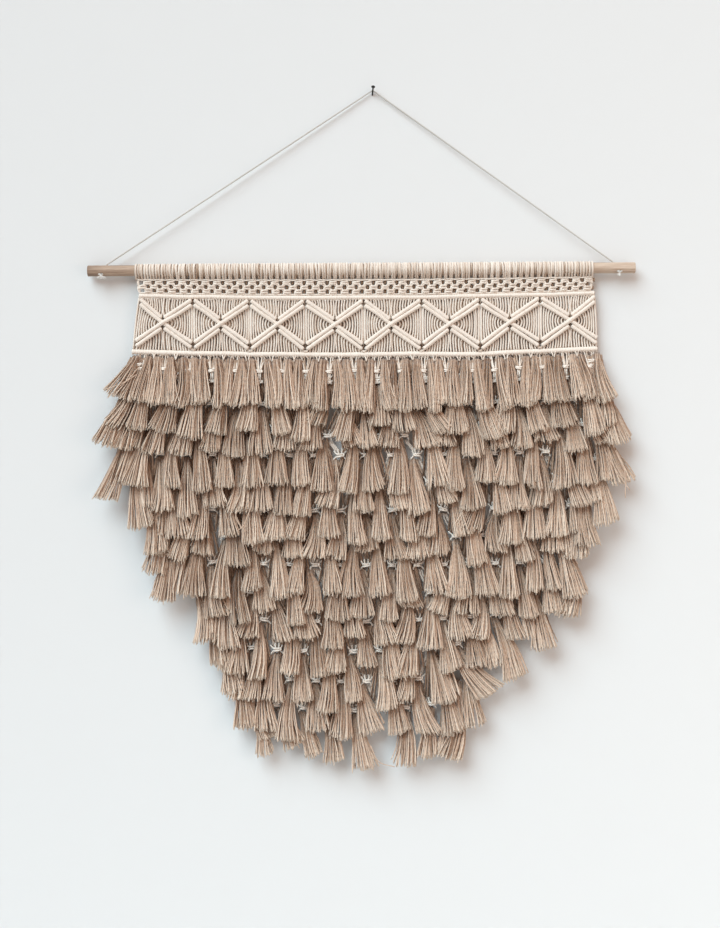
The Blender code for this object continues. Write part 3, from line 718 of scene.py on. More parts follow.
def wrapped(bundle, points, half_tall, half_deep, rng, tone=0.64, sides=10, groove=0.055, step=0.00090):
    """A line of clove hitches: a smooth roll with one shallow groove between its wraps."""
    line, length = resample(points, step)
    wraps = int(length / WRAP_PITCH) + 2
    each = np.repeat(rng.normal(size=wraps), int(math.ceil(WRAP_PITCH / step)) + 1)[: len(line)]
    level = tone + 0.05 * each
    thick = half_tall * (1 + 0.012 * each)
    thick[[0, -1]] *= 0.55
    bundle.add(line, thick[None], sides, level[None], 0.0, 1, WRAP_PITCH, groove, half_deep / half_tall)


BAR_POINTS = 120
BAR_STITCHES = 150


def bar(name, node, upper, lower, half_tall, seed):
    rng = np.random.default_rng(seed)
    rolled = Bundle()
    x = np.linspace(lower.left + 0.0012, lower.right - 0.0012, BAR_POINTS)
    z = (line_z(upper, x) + line_z(lower, x)) / 2
    waver = rng.normal(size=BAR_POINTS // 6)
    z = z + 0.0003 * np.interp(np.arange(BAR_POINTS), np.arange(0, BAR_POINTS, 6), waver)
    wrapped(rolled, hang(x, 0.0, z), half_tall, 0.0045, rng, tone=0.72, sides=11)
    # the ends of the hitches, a row of small stitches under the roll
    x = np.linspace(lower.left + 0.003, lower.right - 0.003, BAR_STITCHES)
    x = x + rng.normal(0, 0.0004, BAR_STITCHES)
    z = (line_z(upper, x) + line_z(lower, x)) / 2 - half_tall
    p0, p3 = hang(x - 0.0012, -0.0016, z + 0.0012), hang(x + 0.0010, -0.0006, z - 0.0016)
    rolled.add(straight(p0, p3, 3), 0.00125, sides=5, tone=0.60)
    finish_piece(rolled, name, WRAPS, node)


# Diamond band: the ridges' places, then the cords between them

# Heights of the ropes' middle lines: below the upper bar or above the lower bar at the band's
# apexes, and above or below the crossing
X_TOP, X_FOOT = 0.0106, 0.0152
V_TOP, V_CROSSING = 0.0018, 0.0090
L_FOOT, L_CROSSING = 0.0058, 0.0098
CROSSING_LIFT = 0.0030
CROSSING_SLOT = 0.0022
# How far the ropes stop short of the apexes: the crossing ones, the upper and the lower short ones
X_SHORT, V_SHORT, L_SHORT = 0.0020, 0.0026, 0.0034
OVER_LIFT = 0.0030  # the second of two crossing ropes lies this far over the first
ROPE_OUT = 0.0038
ROPE_RADIUS = 0.0038
DIAMOND_RADIUS = 0.00168
CORD_SPACING = 0.0050
# The cords' hooks into the ropes: length, sideways pull and rise as shares of it, and shift of the end
HOOK = 0.0085
HOOK_SQUARE = 0.80
HOOK_UP = 0.62
HOOK_ASIDE = 0.0024


def ridge_marks():
    """Places across of the tops, feet and crossings, then the heights of each."""
    tops = np.array((RIDGE_TOP_ENDS[0], *RIDGE_APEXES, RIDGE_TOP_ENDS[1]))
    feet = np.array((RIDGE_FOOT_ENDS[0], *RIDGE_APEXES, RIDGE_FOOT_ENDS[1]))
    crossings = np.array(RIDGE_CROSSINGS)
    top = line_z(UPPER_BAR_FOOT, tops)
    foot = line_z(LOWER_BAR_TOP, feet)
    middle = (line_z(UPPER_BAR_FOOT, crossings) + line_z(LOWER_BAR_TOP, crossings)) / 2 + CROSSING_LIFT
    return tops, feet, crossings, top, foot, middle


def ridge_ropes():
    rng = np.random.default_rng(8)
    ropes = Bundle()
    tops, feet, crossings, top, foot, middle = ridge_marks()

    def rope(points, out):
        points = np.array(points)
        line = through(hang(points[:, 0], -np.array(out), points[:, 1]), 5)[0]
        wrapped(ropes, line, ROPE_RADIUS, ROPE_RADIUS * 0.95, rng, tone=0.66, sides=8, step=0.00105)

    def short_rope(x0, z0, stop, x, z):
        toward = math.copysign(1, x0 - x)
        rope(((x0 - toward * stop, z0), (x + toward * CROSSING_SLOT, z)), (ROPE_OUT, ROPE_OUT))

    for k, (x, z) in enumerate(zip(crossings, middle)):
        crossing = np.array((x, z))
        for top_at, foot_at, over in ((k, k + 1, 0.0), (k + 1, k, OVER_LIFT)):
            toward = math.copysign(1, feet[foot_at] - tops[top_at])
            arms = []
            for end in (
                np.array((tops[top_at] + toward * X_SHORT, top[top_at] - X_TOP)),
                np.array((feet[foot_at] - toward * X_SHORT, foot[foot_at] + X_FOOT)),
            ):
                close = crossing + (end - crossing) * 0.12
                arms.append([end, (end + close) / 2, close])
            sag = rng.normal(0, 0.0006, 2)
            for arm, lower in zip(arms, sag):
                arm[1] = arm[1] + (0.0, lower)
            near = ROPE_OUT + over * 0.5
            out = (ROPE_OUT, ROPE_OUT, near, ROPE_OUT + over, near, ROPE_OUT, ROPE_OUT)
            rope((*arms[0], crossing, *arms[1][::-1]), out)
        for apex in (k, k + 1):
            short_rope(tops[apex], top[apex] - V_TOP, V_SHORT, x, z + V_CROSSING)
        for apex in (k, k + 1):
            short_rope(feet[apex], foot[apex] + L_FOOT, L_SHORT, x, z - L_CROSSING)
    finish_piece(ropes, "diagonal_ropes", WRAPS, "diagonal_ridges")


# The cords beside one crossing, at one side of it: the crossing's place, the side, how far it is to the
# apex at the top and at the foot, and the heights of those apexes
Half = namedtuple("Half", "x z side wide_top wide_foot top foot")


def diamond_halves():
    tops, feet, crossings, top, foot, middle = ridge_marks()
    for k, (x, z) in enumerate(zip(crossings, middle)):
        for side, apex in ((-1, k), (1, k + 1)):
            yield Half(x, z, side, abs(tops[apex] - x), abs(feet[apex] - x), top[apex], foot[apex])


def pairs(x, z):
    return np.stack(np.broadcast_arrays(x, z), axis=-1)


def thin_cords(cords, rng, p0, p1, p2, p3):
    """Curved cords of the band, by the four corners (x, z) of each."""
    n = len(p0)
    deep = rng.normal(0.0004, 0.0005, n)
    ends_out = (-0.001, 0.0, 0.0, -0.001)
    corners = [hang(p[:, 0], y + deep, p[:, 1]) for p, y in zip((p0, p1, p2, p3), ends_out)]
    cords.add(bezier(*corners, 10), DIAMOND_RADIUS, sides=5, tone=0.58 + 0.10 * rng.normal(size=n))


def cords_beside(cords, rng, half, u):
    """Half of a diamond beside the crossing, from the upper arm to the lower one."""
    up = half.z + u * (half.top - X_TOP - half.z)
    down = half.z - u * (half.z - half.foot - X_FOOT)
    loose = rng.normal(0, 0.00025, len(u))
    p0 = pairs(half.x + half.side * u * half.wide_top + loose, up)
    p3 = pairs(half.x + half.side * u * half.wide_foot + loose, down)
    tall = up - down
    bulge = half.side * np.minimum(0.36 * tall, 0.0072) * (1 - u**3)
    reach = np.minimum(0.0075, 0.36 * tall)
    thin_cords(cords, rng, p0, p0 + pairs(bulge, -reach), p3 + pairs(bulge, reach), p3)


def cords_to_bars(cords, rng, half, u):
    """From the bars to the ropes over and under the crossing, with a hook square to the rope."""
    loose = rng.normal(0, 0.0003, len(u))
    for up, line, wide, near, apex_z in (
        (1, UPPER_BAR_FOOT, half.wide_top, V_CROSSING, half.top - V_TOP),
        (-1, LOWER_BAR_TOP, half.wide_foot, L_CROSSING, half.foot + L_FOOT),
    ):
        x = half.x + half.side * (u * wide + 0.0006) + loose
        z = line_z(line, x) + up * 0.0006
        z_arm = half.z + up * near + u * (apex_z - half.z - up * near)
        tall = np.maximum(up * (z - z_arm), 0.0006)
        hook = np.minimum(HOOK, 0.62 * tall)
        p0, p1 = pairs(x, z), pairs(x - half.side * 0.0006, z - up * 0.35 * tall)
        p3 = pairs(x + half.side * HOOK_ASIDE * hook / HOOK, z_arm)
        p2 = p3 + pairs(-half.side * HOOK_SQUARE * hook, up * HOOK_UP * hook)
        thin_cords(cords, rng, *(p0, p1, p2, p3)[::up])


def diamond_cords():
    rng = np.random.default_rng(9)
    cords = Bundle()
    for half in diamond_halves():
        count = int(round((half.wide_top + half.wide_foot) / 2 / CORD_SPACING))
        u = (np.arange(count) + 0.45) / (count + 0.15)
        cords_beside(cords, rng, half, u)
        cords_to_bars(cords, rng, half, u)
    # cords behind the others, painted dark: painted shade that fills the gaps between them
    x = np.linspace(LOWER_BAR_TOP.left + 0.006, LOWER_BAR_TOP.right - 0.006, CORD_COUNT)
    x_top = np.linspace(UPPER_BAR_FOOT.left + 0.004, UPPER_BAR_FOOT.right - 0.004, CORD_COUNT)
    p0, p3 = hang(x_top, 0.0034, line_z(UPPER_BAR_FOOT, x_top)), hang(x, 0.0034, line_z(LOWER_BAR_TOP, x))
    cords.add(straight(p0, p3, 2), 0.0027, sides=4, tone=0.10)
    # down the middle of each diamond, a little further back
    tops, feet, _, top, foot, _ = ridge_marks()
    inner = slice(1, -1)
    for across in (-0.0021, 0.0021):
        x = tops[inner] + across
        p0, p3 = hang(x, 0.0012, top[inner] - X_TOP), hang(x, 0.0012, foot[inner] + X_FOOT)
        cords.add(straight(p0, p3, 4), 0.0021, sides=6, tone=0.85)
    # the outermost cord at each side
    for side, x0, x1 in (
        (-1, UPPER_BAR_FOOT.left, LOWER_BAR_TOP.left),
        (1, UPPER_BAR_FOOT.right, LOWER_BAR_TOP.right),
    ):
        x0, x1 = np.array([x0 - side * 0.0018]), np.array([x1 - side * 0.0030])
        p0, p3 = pairs(x0, line_z(UPPER_BAR_FOOT, x0) + 0.0006), pairs(x1, line_z(LOWER_BAR_TOP, x1) - 0.0006)
        third = (p0 - p3) / 3
        swell = np.array((side * 0.0016, 0.0))
        thin_cords(cords, rng, p0, p0 - third + swell, p3 + third + swell, p3)
    # a small knot where the lowest ropes meet over the bar
    x, z = feet[inner], foot[inner] + 0.0022
    square_knots(cords, x, z, rng, scale=0.42, radius=0.0012, sides=5, tone=0.5, out=0.002)
    finish_piece(cords, "diamond_cords", CREAM, "diamond_band")


# Ground net

# Tassels that hang unlike their neighbours, by row and column: sideways shift of the tip, extra length,
# spread of the tip, how far the tip turns aside, and how far the head lies aside and down
Odd = namedtuple("Odd", "shift longer spread curl aside down", defaults=(0.0, 0.0, 1.0, 0.0, 0.0, 0.0))
PLAIN = Odd()
ODD = {
    (1, 0): Odd(shift=0.004, longer=-0.010, spread=1.30, curl=-0.003),
    (1, 39): Odd(shift=-0.010, longer=0.002, spread=1.15),
    (2, -9): Odd(shift=0.012, longer=-0.010, spread=0.95, curl=-0.003, aside=0.004, down=0.034),
    (2, 10): Odd(shift=-0.008, longer=-0.008, spread=0.95, curl=0.002, aside=-0.003, down=0.035),
    (3, 9): Odd(shift=-0.006, longer=-0.004),
    (4, -9): Odd(shift=-0.002, longer=0.004, spread=1.05, curl=-0.002, aside=0.002, down=0.022),
    (4, -8): Odd(shift=-0.007, longer=0.002, spread=1.15),
    (4, 10): Odd(shift=0.014, longer=-0.006, spread=0.95, curl=0.002, aside=-0.005, down=0.012),
    (5, -9): Odd(shift=0.006, longer=0.013, down=0.020),
    (5, 9): Odd(shift=-0.010, longer=0.012, down=0.018),
    (6, -8): Odd(shift=0.012, longer=0.015, down=0.016),
    (6, 9): Odd(shift=-0.006, longer=0.008, down=0.012),
    (7, -8): Odd(shift=0.020, longer=0.008, curl=-0.002, down=0.020),
    (7, 8): Odd(shift=-0.018, longer=0.006),
    (8, -7): Odd(shift=0.004, longer=0.010),
    (8, 8): Odd(shift=0.006, longer=0.008, curl=0.002),
    (10, -6): Odd(shift=0.010),
    (10, 7): Odd(shift=-0.007, longer=0.020),
    (11, -6): Odd(shift=0.022, longer=-0.014),
    (11, 5): Odd(shift=0.006, longer=0.022, curl=0.002),
    (12, -5): Odd(shift=0.020, longer=-0.010),
    (13, -5): Odd(shift=0.018),
    (14, -4): Odd(shift=0.024, longer=-0.026),
    (14, -3): Odd(shift=0.026, longer=-0.016, spread=0.9),
    (14, -2): Odd(shift=0.018, longer=-0.014, spread=0.7),
    (14, -1): Odd(shift=0.012, longer=-0.008, spread=0.9),
    (14, 0): Odd(shift=0.014, longer=0.003),
    (14, 2): Odd(longer=0.005),
    (14, 4): Odd(shift=-0.002, longer=0.010),
    (1, 17): Odd(shift=0.006),
    (1, 18): Odd(shift=0.008, longer=0.002, spread=1.05),
    (2, 3): Odd(shift=0.026, longer=-0.004, spread=0.72, curl=0.010, aside=-0.010),
    (3, 2): Odd(shift=0.017, longer=0.003, spread=1.30, curl=0.004),
    (4, -1): Odd(shift=0.004, longer=-0.006, down=0.012),
    (4, 1): Odd(shift=-0.002, longer=-0.006, spread=0.9, down=0.012),
    (4, 2): Odd(shift=0.003, longer=-0.006, spread=0.9, curl=0.002, down=0.012),
    (4, 3): Odd(shift=0.010, spread=1.10),
    (5, -5): Odd(shift=0.004, curl=-0.006),
    (8, 5): Odd(shift=0.009),
    (9, 5): Odd(shift=0.010),
    (12, 3): Odd(shift=0.008, curl=0.006),
    (12, 4): Odd(shift=0.032, longer=0.008, spread=1.1, curl=0.010),
    (13, 2): Odd(shift=0.006, curl=0.010),
}
# The outermost tassels without an entry above hang just as their row says
STEADY = PLAIN._replace(spread=1.02)

# Knots of the net that show between the tassels, as row and column
SHOWN = (
    (4, -1), (4, 1), (4, 2), (5, -2), (5, -1), (5, 0), (5, 2), (5, 7), (7, 3), (7, -6),
    (9, -4), (9, -2), (9, 0), (9, 2), (11, -4), (11, 2), (12, 0), (13, 0),
)
SHOWN_ASIDE = 0.011
SHOWN_CLEAR = 0.0045
SHOWN_SHORT = 0.012


def column_x(row_number, column):
    shift = 0 if row_number % 2 else -PITCH / 2
    return COLUMN_X + shift + column * PITCH


def row_z(row, x, ends):
    return row.z + row.rise * off_middle(x, *ends)


def net_places():
    places = {}
    for number, row in enumerate(NET_ROWS, start=2):
        ends = (column_x(number, row.first), column_x(number, row.last))
        for column in range(row.first, row.last + 1):
            x = column_x(number, column)
            odd = ODD.get((number, column), PLAIN)
            places[number, column] = (x + odd.aside, row_z(row, x, ends) - odd.down)
    return places


def give_way(number, x):
    """How far a tassel moves aside, leans away and is shorter, for the knots that show beside it."""
    aside, lean, short = 0.0, 0.0, 0.0
    for row_number, column in SHOWN:
        away = x - column_x(row_number, column)
        if row_number == number and abs(away) < 0.001:
            aside -= SHOWN_ASIDE
        if row_number == number + 1 and abs(away) < 0.75 * PITCH:
            lean += math.copysign(SHOWN_CLEAR, away)
        if row_number == number + 2 and abs(away) < 0.25 * PITCH:
            short += SHOWN_SHORT
    return aside, lean, short


def lower_columns(number, column):
    return (column, column + 1) if number % 2 else (column - 1, column)


def net_links(places):
    """Each link of the net: upper place, lower place, and the side of each knot that it meets."""
    links = []
    for number, column in places:
        left, right = lower_columns(number, column)
        row = NET_ROWS[number - 2]
        upper = places[number, column]
        if (number + 1, left) in places:
            links.append((*upper, *places[number + 1, left], -1, 1))
        elif column == row.first and (number + 2, column) in places:
            links.append((*upper, *places[number + 2, column], -1, -1))
        if (number + 1, right) in places:
            links.append((*upper, *places[number + 1, right], 1, -1))
        elif column == row.last and (number + 2, column) in places:
            links.append((*upper, *places[number + 2, column], 1, 1))
    return links


KNOT_LIFT = 0.0072  # a net knot's middle over the place where its tassel hangs
LINK_RADIUS = CREAM_RADIUS * 0.95
# The cords of a link: how far each lies from the middle of the upper and of the lower knot
LINK_CORDS = ((0.0014, 0.0072), (0.0042, 0.0044), (0.0072, 0.0014))
# The cords that show round a knot, at each side: start and end aside of its middle, and their rise
STAR_CORDS = ((0.0016, 0.0040, 0.0110), (0.0052, 0.0112, 0.0082), (0.0048, 0.0100, -0.0090))


def ground_net():
    rng = np.random.default_rng(14)
    net = Bundle()
    places = net_places()
    x, z = np.array(list(places.values())).T
    z = z + KNOT_LIFT
    square_knots(net, x, z, rng, scale=0.92, sides=4, tone=1.0, steps=1, out=0.0082)
    x0, z0, x1, z1, leave, arrive = np.array(net_links(places)).T
    for near, far in LINK_CORDS:
        p0 = hang(x0 + leave * near, 0.0006, z0 - 0.0005)
        p3 = hang(x1 + arrive * far, 0.0006, z1 + KNOT_LIFT + 0.0035)
        bow = rng.normal(0, 0.0010, (len(x0), 1)) * np.array((1.0, 0.0, 0.0))
        fall = (p0 - p3)[:, 2:] * np.array((0.0, 0.0, 0.35))
        net.add(bezier(p0, p0 - fall + bow, p3 + fall + bow, p3, 5), LINK_RADIUS, sides=4, tone=0.66)
    for side in (-1, 1):
        for near, far, rise in STAR_CORDS:
            p0 = hang(x + side * near, -0.0090, z + math.copysign(0.0014, rise))
            p3 = hang(x + side * far * rng.uniform(0.7, 1.2, len(x)), -0.0072, z + rise)
            bulge = np.array((side * 0.0016, 0.0, 0.0))
            net.add(bezier(p0, p0 + bulge, p3 + bulge, p3, 4), 0.00150, sides=4, tone=0.95)
    head_cords(net, places, rng)
    finish_piece(net, "ground_net_cords", CREAM, "ground_net")


# The two rows of small knots over the first tassels: height, and their number
UPPER_KNOT_Z = -0.5005
LOWER_KNOT_Z = -0.5205
HEAD_KNOTS = 20
# Knots that show at the net's edges, beside the outermost tassels
EDGE_KNOTS = (
    (-0.4290, -0.494),
    (-0.4280, -0.508),
    (-0.4250, -0.521),
    (-0.4200, -0.532),
    (-0.4590, -0.618),
    (-0.4560, -0.630),
    (0.3960, -0.492),
    (0.4000, -0.506),
    (0.4200, -0.640),
)


def head_cords(net, places, rng):
    """Cords from the lower bar, in pairs, through a first row of small knots to a row of open ones."""
    x = HEADING_LEFT + TOP_ROW_PITCH * (0.5 + 2 * np.arange(HEAD_KNOTS)) + rng.normal(0, 0.0010, HEAD_KNOTS)
    sag = line_z(LOWER_BAR_FOOT, x) - LOWER_BAR_FOOT.z
    z = UPPER_KNOT_Z + sag + rng.normal(0, 0.0006, HEAD_KNOTS)
    low = LOWER_KNOT_Z + sag
    square_knots(net, x, z, rng, scale=0.66, radius=0.00170, sides=5, tone=1.0, out=0.0098)
    square_knots(net, x, low, rng, scale=0.70, radius=0.00150, sides=5, tone=0.92, out=0.0090)
    for side in (-1, 1):
        for near, far in ((0.0013, 0.0038), (0.0030, 0.0080)):
            top = x + side * far + rng.normal(0, 0.0006, HEAD_KNOTS)
            p0 = hang(top, 0.0, line_z(LOWER_BAR_FOOT, top) + 0.001)
            p3 = hang(x + side * near, -0.0100, z + 0.0022)
            fall = np.array((0.0, 0.0, 0.0070))
            tone = 0.40 + 0.2 * rng.normal(size=HEAD_KNOTS)
            net.add(bezier(p0, p0 - fall, p3 + fall * 0.5, p3, 6), 0.00140, sides=5, tone=tone)
        p0 = hang(x + side * 0.0015, -0.0098, z - 0.0022)
        p3 = hang(x + side * 0.0018, -0.0090, low + 0.0022)
        net.add(straight(p0, p3, 3), 0.00165, sides=5, tone=0.85)
        # in the other gaps, short cords from the bar to the heads beside it
        between = x + TOP_ROW_PITCH + rng.normal(0, 0.0008, HEAD_KNOTS)
        foot = line_z(LOWER_BAR_FOOT, between) - 0.0065 - rng.uniform(0, 0.0030, HEAD_KNOTS)
        p0 = hang(between + side * 0.0034, -0.0030, line_z(LOWER_BAR_FOOT, between) + 0.001)
        p3 = hang(between + side * 0.0008, -0.0080, foot)
        tone = 0.50 + 0.2 * rng.normal(size=HEAD_KNOTS - 1)
        net.add(bezier(p0, p0, p3 + (0.0, 0.0, 0.003), p3, 4)[:-1], 0.00125, sides=5, tone=tone)
        # from the open knots to the knots of the first full row
        goal = np.array([places[2, c] for c in range(NET_ROWS[0].first, NET_ROWS[0].last + 1)])
        nearest = np.argmin(np.abs(goal[None, :, 0] - (x + side * 0.020)[:, None]), axis=1)
        for near, far in ((0.0020, 0.0018), (0.0052, 0.0050)):
            p0 = hang(x + side * near, 0.0, low - 0.0012)
            p3 = hang(goal[nearest, 0] - side * far, 0.0006, goal[nearest, 1] + KNOT_LIFT + 0.0020)
            net.add(straight(p0, p3, 4), 0.00165, sides=5, tone=0.62)
    x, z = np.array(EDGE_KNOTS).T
    square_knots(net, x, z, rng, scale=0.62, radius=0.00160, sides=5, tone=0.85, out=0.0085)


# Tassels

Look = namedtuple("Look", "strands half_head half_tip radius")
SLIM = Look(strands=40, half_head=0.0082, half_tip=0.0156, radius=0.00128)
FULL = Look(strands=47, half_head=0.0072, half_tip=0.0226, radius=0.00136)
EDGE = Look(strands=28, half_head=0.0058, half_tip=0.0160, radius=0.00136)
# A few strands behind each tassel, fanned wider, that fill the gaps between the tassels, painted darker than
# the front strands as painted shade
BACK_STRANDS = 10
BACK_WIDE = 1.30
BACK_LONG = 0.95
EDGE_BACK_WIDE = 0.45
EDGE_BACK_LONG = 0.66
BACK_RADIUS = 0.0023
BACK_FALL = np.array((0.0, 0.35, 0.70, 1.0))
UNEVEN = 0.0025
# Places along a strand: share of its fall from the head's top
FALL_SHARES = np.array((0.0, 0.14, 0.32, 0.52, 0.74, 0.95, 1.0))
# The pale cut ends are partly the open fibres and partly a painted highlight
CUT_ENDS = (0.30, 0.80)  # how pale a strand's last two points are
# Painted shade and light down a strand, as shares of its length and values: darker at the head, under the row
# above, and lighter towards the cut end
TASSEL_PAINTED_SHADE = ((0.0, 0.3, 0.6, 1.0), (-0.34, -0.16, 0.02, 0.13))

# Loose single strands, this far in front of the net: row, then start, middle and end as (x, z)
LOOSE_OUT = 0.012
Loose = namedtuple("Loose", "number start middle end")
LOOSE = (
    Loose(1, (-0.428, -0.500), (-0.452, -0.526), (-0.4900, -0.541)),
    Loose(1, (-0.430, -0.512), (-0.462, -0.535), (-0.4830, -0.556)),
    Loose(4, (0.438, -0.655), (0.452, -0.690), (0.4510, -0.742)),
    Loose(4, (0.420, -0.660), (0.441, -0.700), (0.4600, -0.728)),
    Loose(5, (-0.236, -0.742), (-0.252, -0.772), (-0.2330, -0.800)),
    Loose(5, (-0.222, -0.748), (-0.236, -0.785), (-0.2480, -0.797)),
    Loose(9, (0.220, -0.905), (0.236, -0.930), (0.2460, -0.968)),
    Loose(14, (-0.010, -1.190), (0.004, -1.218), (0.0330, -1.2270)),
)


def uneven(number, column, seed):
    return math.sin(12.99 * number + 78.23 * column + 37.7 * seed)


def lean_of(row, column):
    keep = 0.36 if row is TOP_ROW else 0.5
    return row.lean_left * keep ** (column - row.first) + row.lean_right * keep ** (row.last - column)


def fanned_tips(rng, a):
    """Each tip's place across, from -1 to 1: evenly fanned, and the same drawn a little into clumps."""
    n = len(a)
    rank = np.argsort(np.argsort(a + 0.25 * rng.normal(size=n)))
    even = (rank + 0.5) / n * 2 - 1
    clumps = np.linspace(-0.9, 0.9, 7) + rng.normal(0, 0.08, 7)
    nearest = clumps[np.argmin(np.abs(clumps[None] - even[:, None]), axis=1)]
    return even, even + (nearest - even) * rng.uniform(0.0, 0.4) + 0.05 * rng.normal(size=n)


def back_strands(bundle, rng, x, z, slope, look, wide, deep):
    """The few strands behind a tassel, close to the net, painted darker as painted shade."""
    fan = (np.linspace(-1, 1, BACK_STRANDS) + 0.05 * rng.normal(size=BACK_STRANDS))[:, None]
    share = BACK_FALL[None]
    half = look.half_head * (1 - share) + look.half_tip * wide * share
    px = x + fan * half + slope * share * deep
    pz = z - 0.0020 - deep * share * (1 - 0.10 * fan**2)
    py = -NET_DEPTH / 2 - 0.0010 - 0.020 * deep * share - rng.uniform(0, 0.0016, (BACK_STRANDS, 1))
    # painted shade: a darker tone than the strands in front
    dark = 0.36 + 0.13 * rng.normal(size=BACK_STRANDS)
    bundle.add(hang(px, py, pz), BACK_RADIUS, sides=3, tone=dark)


def tassel(bundle, rng, x, z, drop, lean, look, odd=PLAIN, out=0.0, back=(EDGE_BACK_WIDE, 0.05)):
    """A bundle doubled over the net: two round lobes, then strands that flare to their cut ends.

    The last value has the width and length of the few strands behind it.
    """
    n = look.strands
    t = FALL_SHARES[None]
    # where each strand lies in the head: side lobe, then across and depth within it
    lobe = np.where(np.arange(n) % 2 == 0, -1.0, 1.0)
    angle = rng.uniform(0, 2 * math.pi, n)
    far = np.sqrt(rng.uniform(0.05, 1.0, n))
    in_x, in_y = far * np.cos(angle), far * np.sin(angle)
    a = lobe * 0.5 + 0.46 * in_x
    even, tip_a = fanned_tips(rng, a)
    # across: the flare from the head to the tip, drawn in at the neck, with a bend and waves
    half_tip = look.half_tip * odd.spread * (rng.uniform(0.74, 1.12) if odd is PLAIN else 1.0)
    flare = t ** rng.uniform(0.80, 1.20)
    neck = 1 - 0.24 * np.exp(-(((t - 0.14) / 0.08) ** 2))
    head_x = a[:, None] * look.half_head
    tip_x = tip_a[:, None] * half_tip
    bend = rng.normal(0, 0.0024)
    phase = rng.uniform(0, 2 * math.pi, (n, 1))
    height = rng.uniform(0.0004, 0.0024, (n, 1))
    wave = height * np.sin(2 * math.pi * rng.uniform(0.6, 1.5, (n, 1)) * t + phase)
    px = x + (head_x + (tip_x - head_x) * flare) * neck
    px += lean * t**1.1 + bend * np.sin(math.pi * t) + wave * t + (odd.curl + rng.normal(0, 0.0022)) * t**3
    # down: the cut ends follow a shallow arc, with a few strands short or long
    ragged = rng.normal(0, 0.0021, n)
    short = (rng.random(n) < 0.12) * rng.uniform(0.002, 0.010, n)
    tilt = lean / 4 + UNEVEN * rng.uniform(-1, 1)
    fall = (drop + ragged - short - 0.0050 * tip_a**2 - tip_a * tilt)[:, None] * t
    dome = 0.0032 * np.sqrt(1 - np.clip(in_x, -0.95, 0.95) ** 2)
    top_z = z + dome - 0.0030 - 0.0030 * a**2
    pz = top_z[:, None] - fall
    # out from the net: strands at the sides lie further back, so the bundle is round
    seat = -NET_DEPTH / 2 - 0.0003 - out
    depth = TASSEL_DEPTH * 0.42 + (TASSEL_FLARE * drop + TASSEL_DEPTH) * 0.42 * flare
    below = np.maximum(z - 0.0045 - pz, 0)
    centre = seat - TASSEL_DEPTH * 0.52 - TASSEL_LEAN * below - TASSEL_FLARE * 0.5 * drop * t
    round_off = 0.0030 * (even**2)[:, None] * flare
    within = rng.uniform(0.2, 1.0, (n, 1)) * in_y[:, None] * depth
    py = centre + within + round_off + 0.5 * wave[:, ::-1] * t
    # over the top and down behind
    crown = hang(x + (px[:, 0] - x) * 0.82, np.full(n, seat - 0.0030), top_z + 0.0016)
    behind = hang(px[:, 0] * 0.6 + x * 0.4, np.full(n, seat - 0.0006), top_z - 0.0035)
    path = np.concatenate([behind[:, None], crown[:, None], hang(px, py, pz)[:, 1:]], axis=1)
    count = path.shape[1]
    thick = look.radius * rng.uniform(0.80, 1.12, (n, 1)) * np.ones((1, count))
    thick[:, -1] *= 0.75
    # painted shade: strands at the back of the bundle, and all of them under the row above, are darker
    level = 0.50 + 0.07 * rng.normal() + 0.16 * rng.normal(size=(n, 1)) - 0.20 * in_y[:, None]
    level = level + np.interp(np.linspace(0, 1, count), *TASSEL_PAINTED_SHADE)
    # the last points paler: partly open fibres at the cut, partly a painted highlight
    cut = np.zeros(count)
    cut[-2:] = CUT_ENDS
    bundle.add(path, thick, sides=3, tone=level, cut=cut)
    back_strands(bundle, rng, x, z, lean / drop, look, *back)


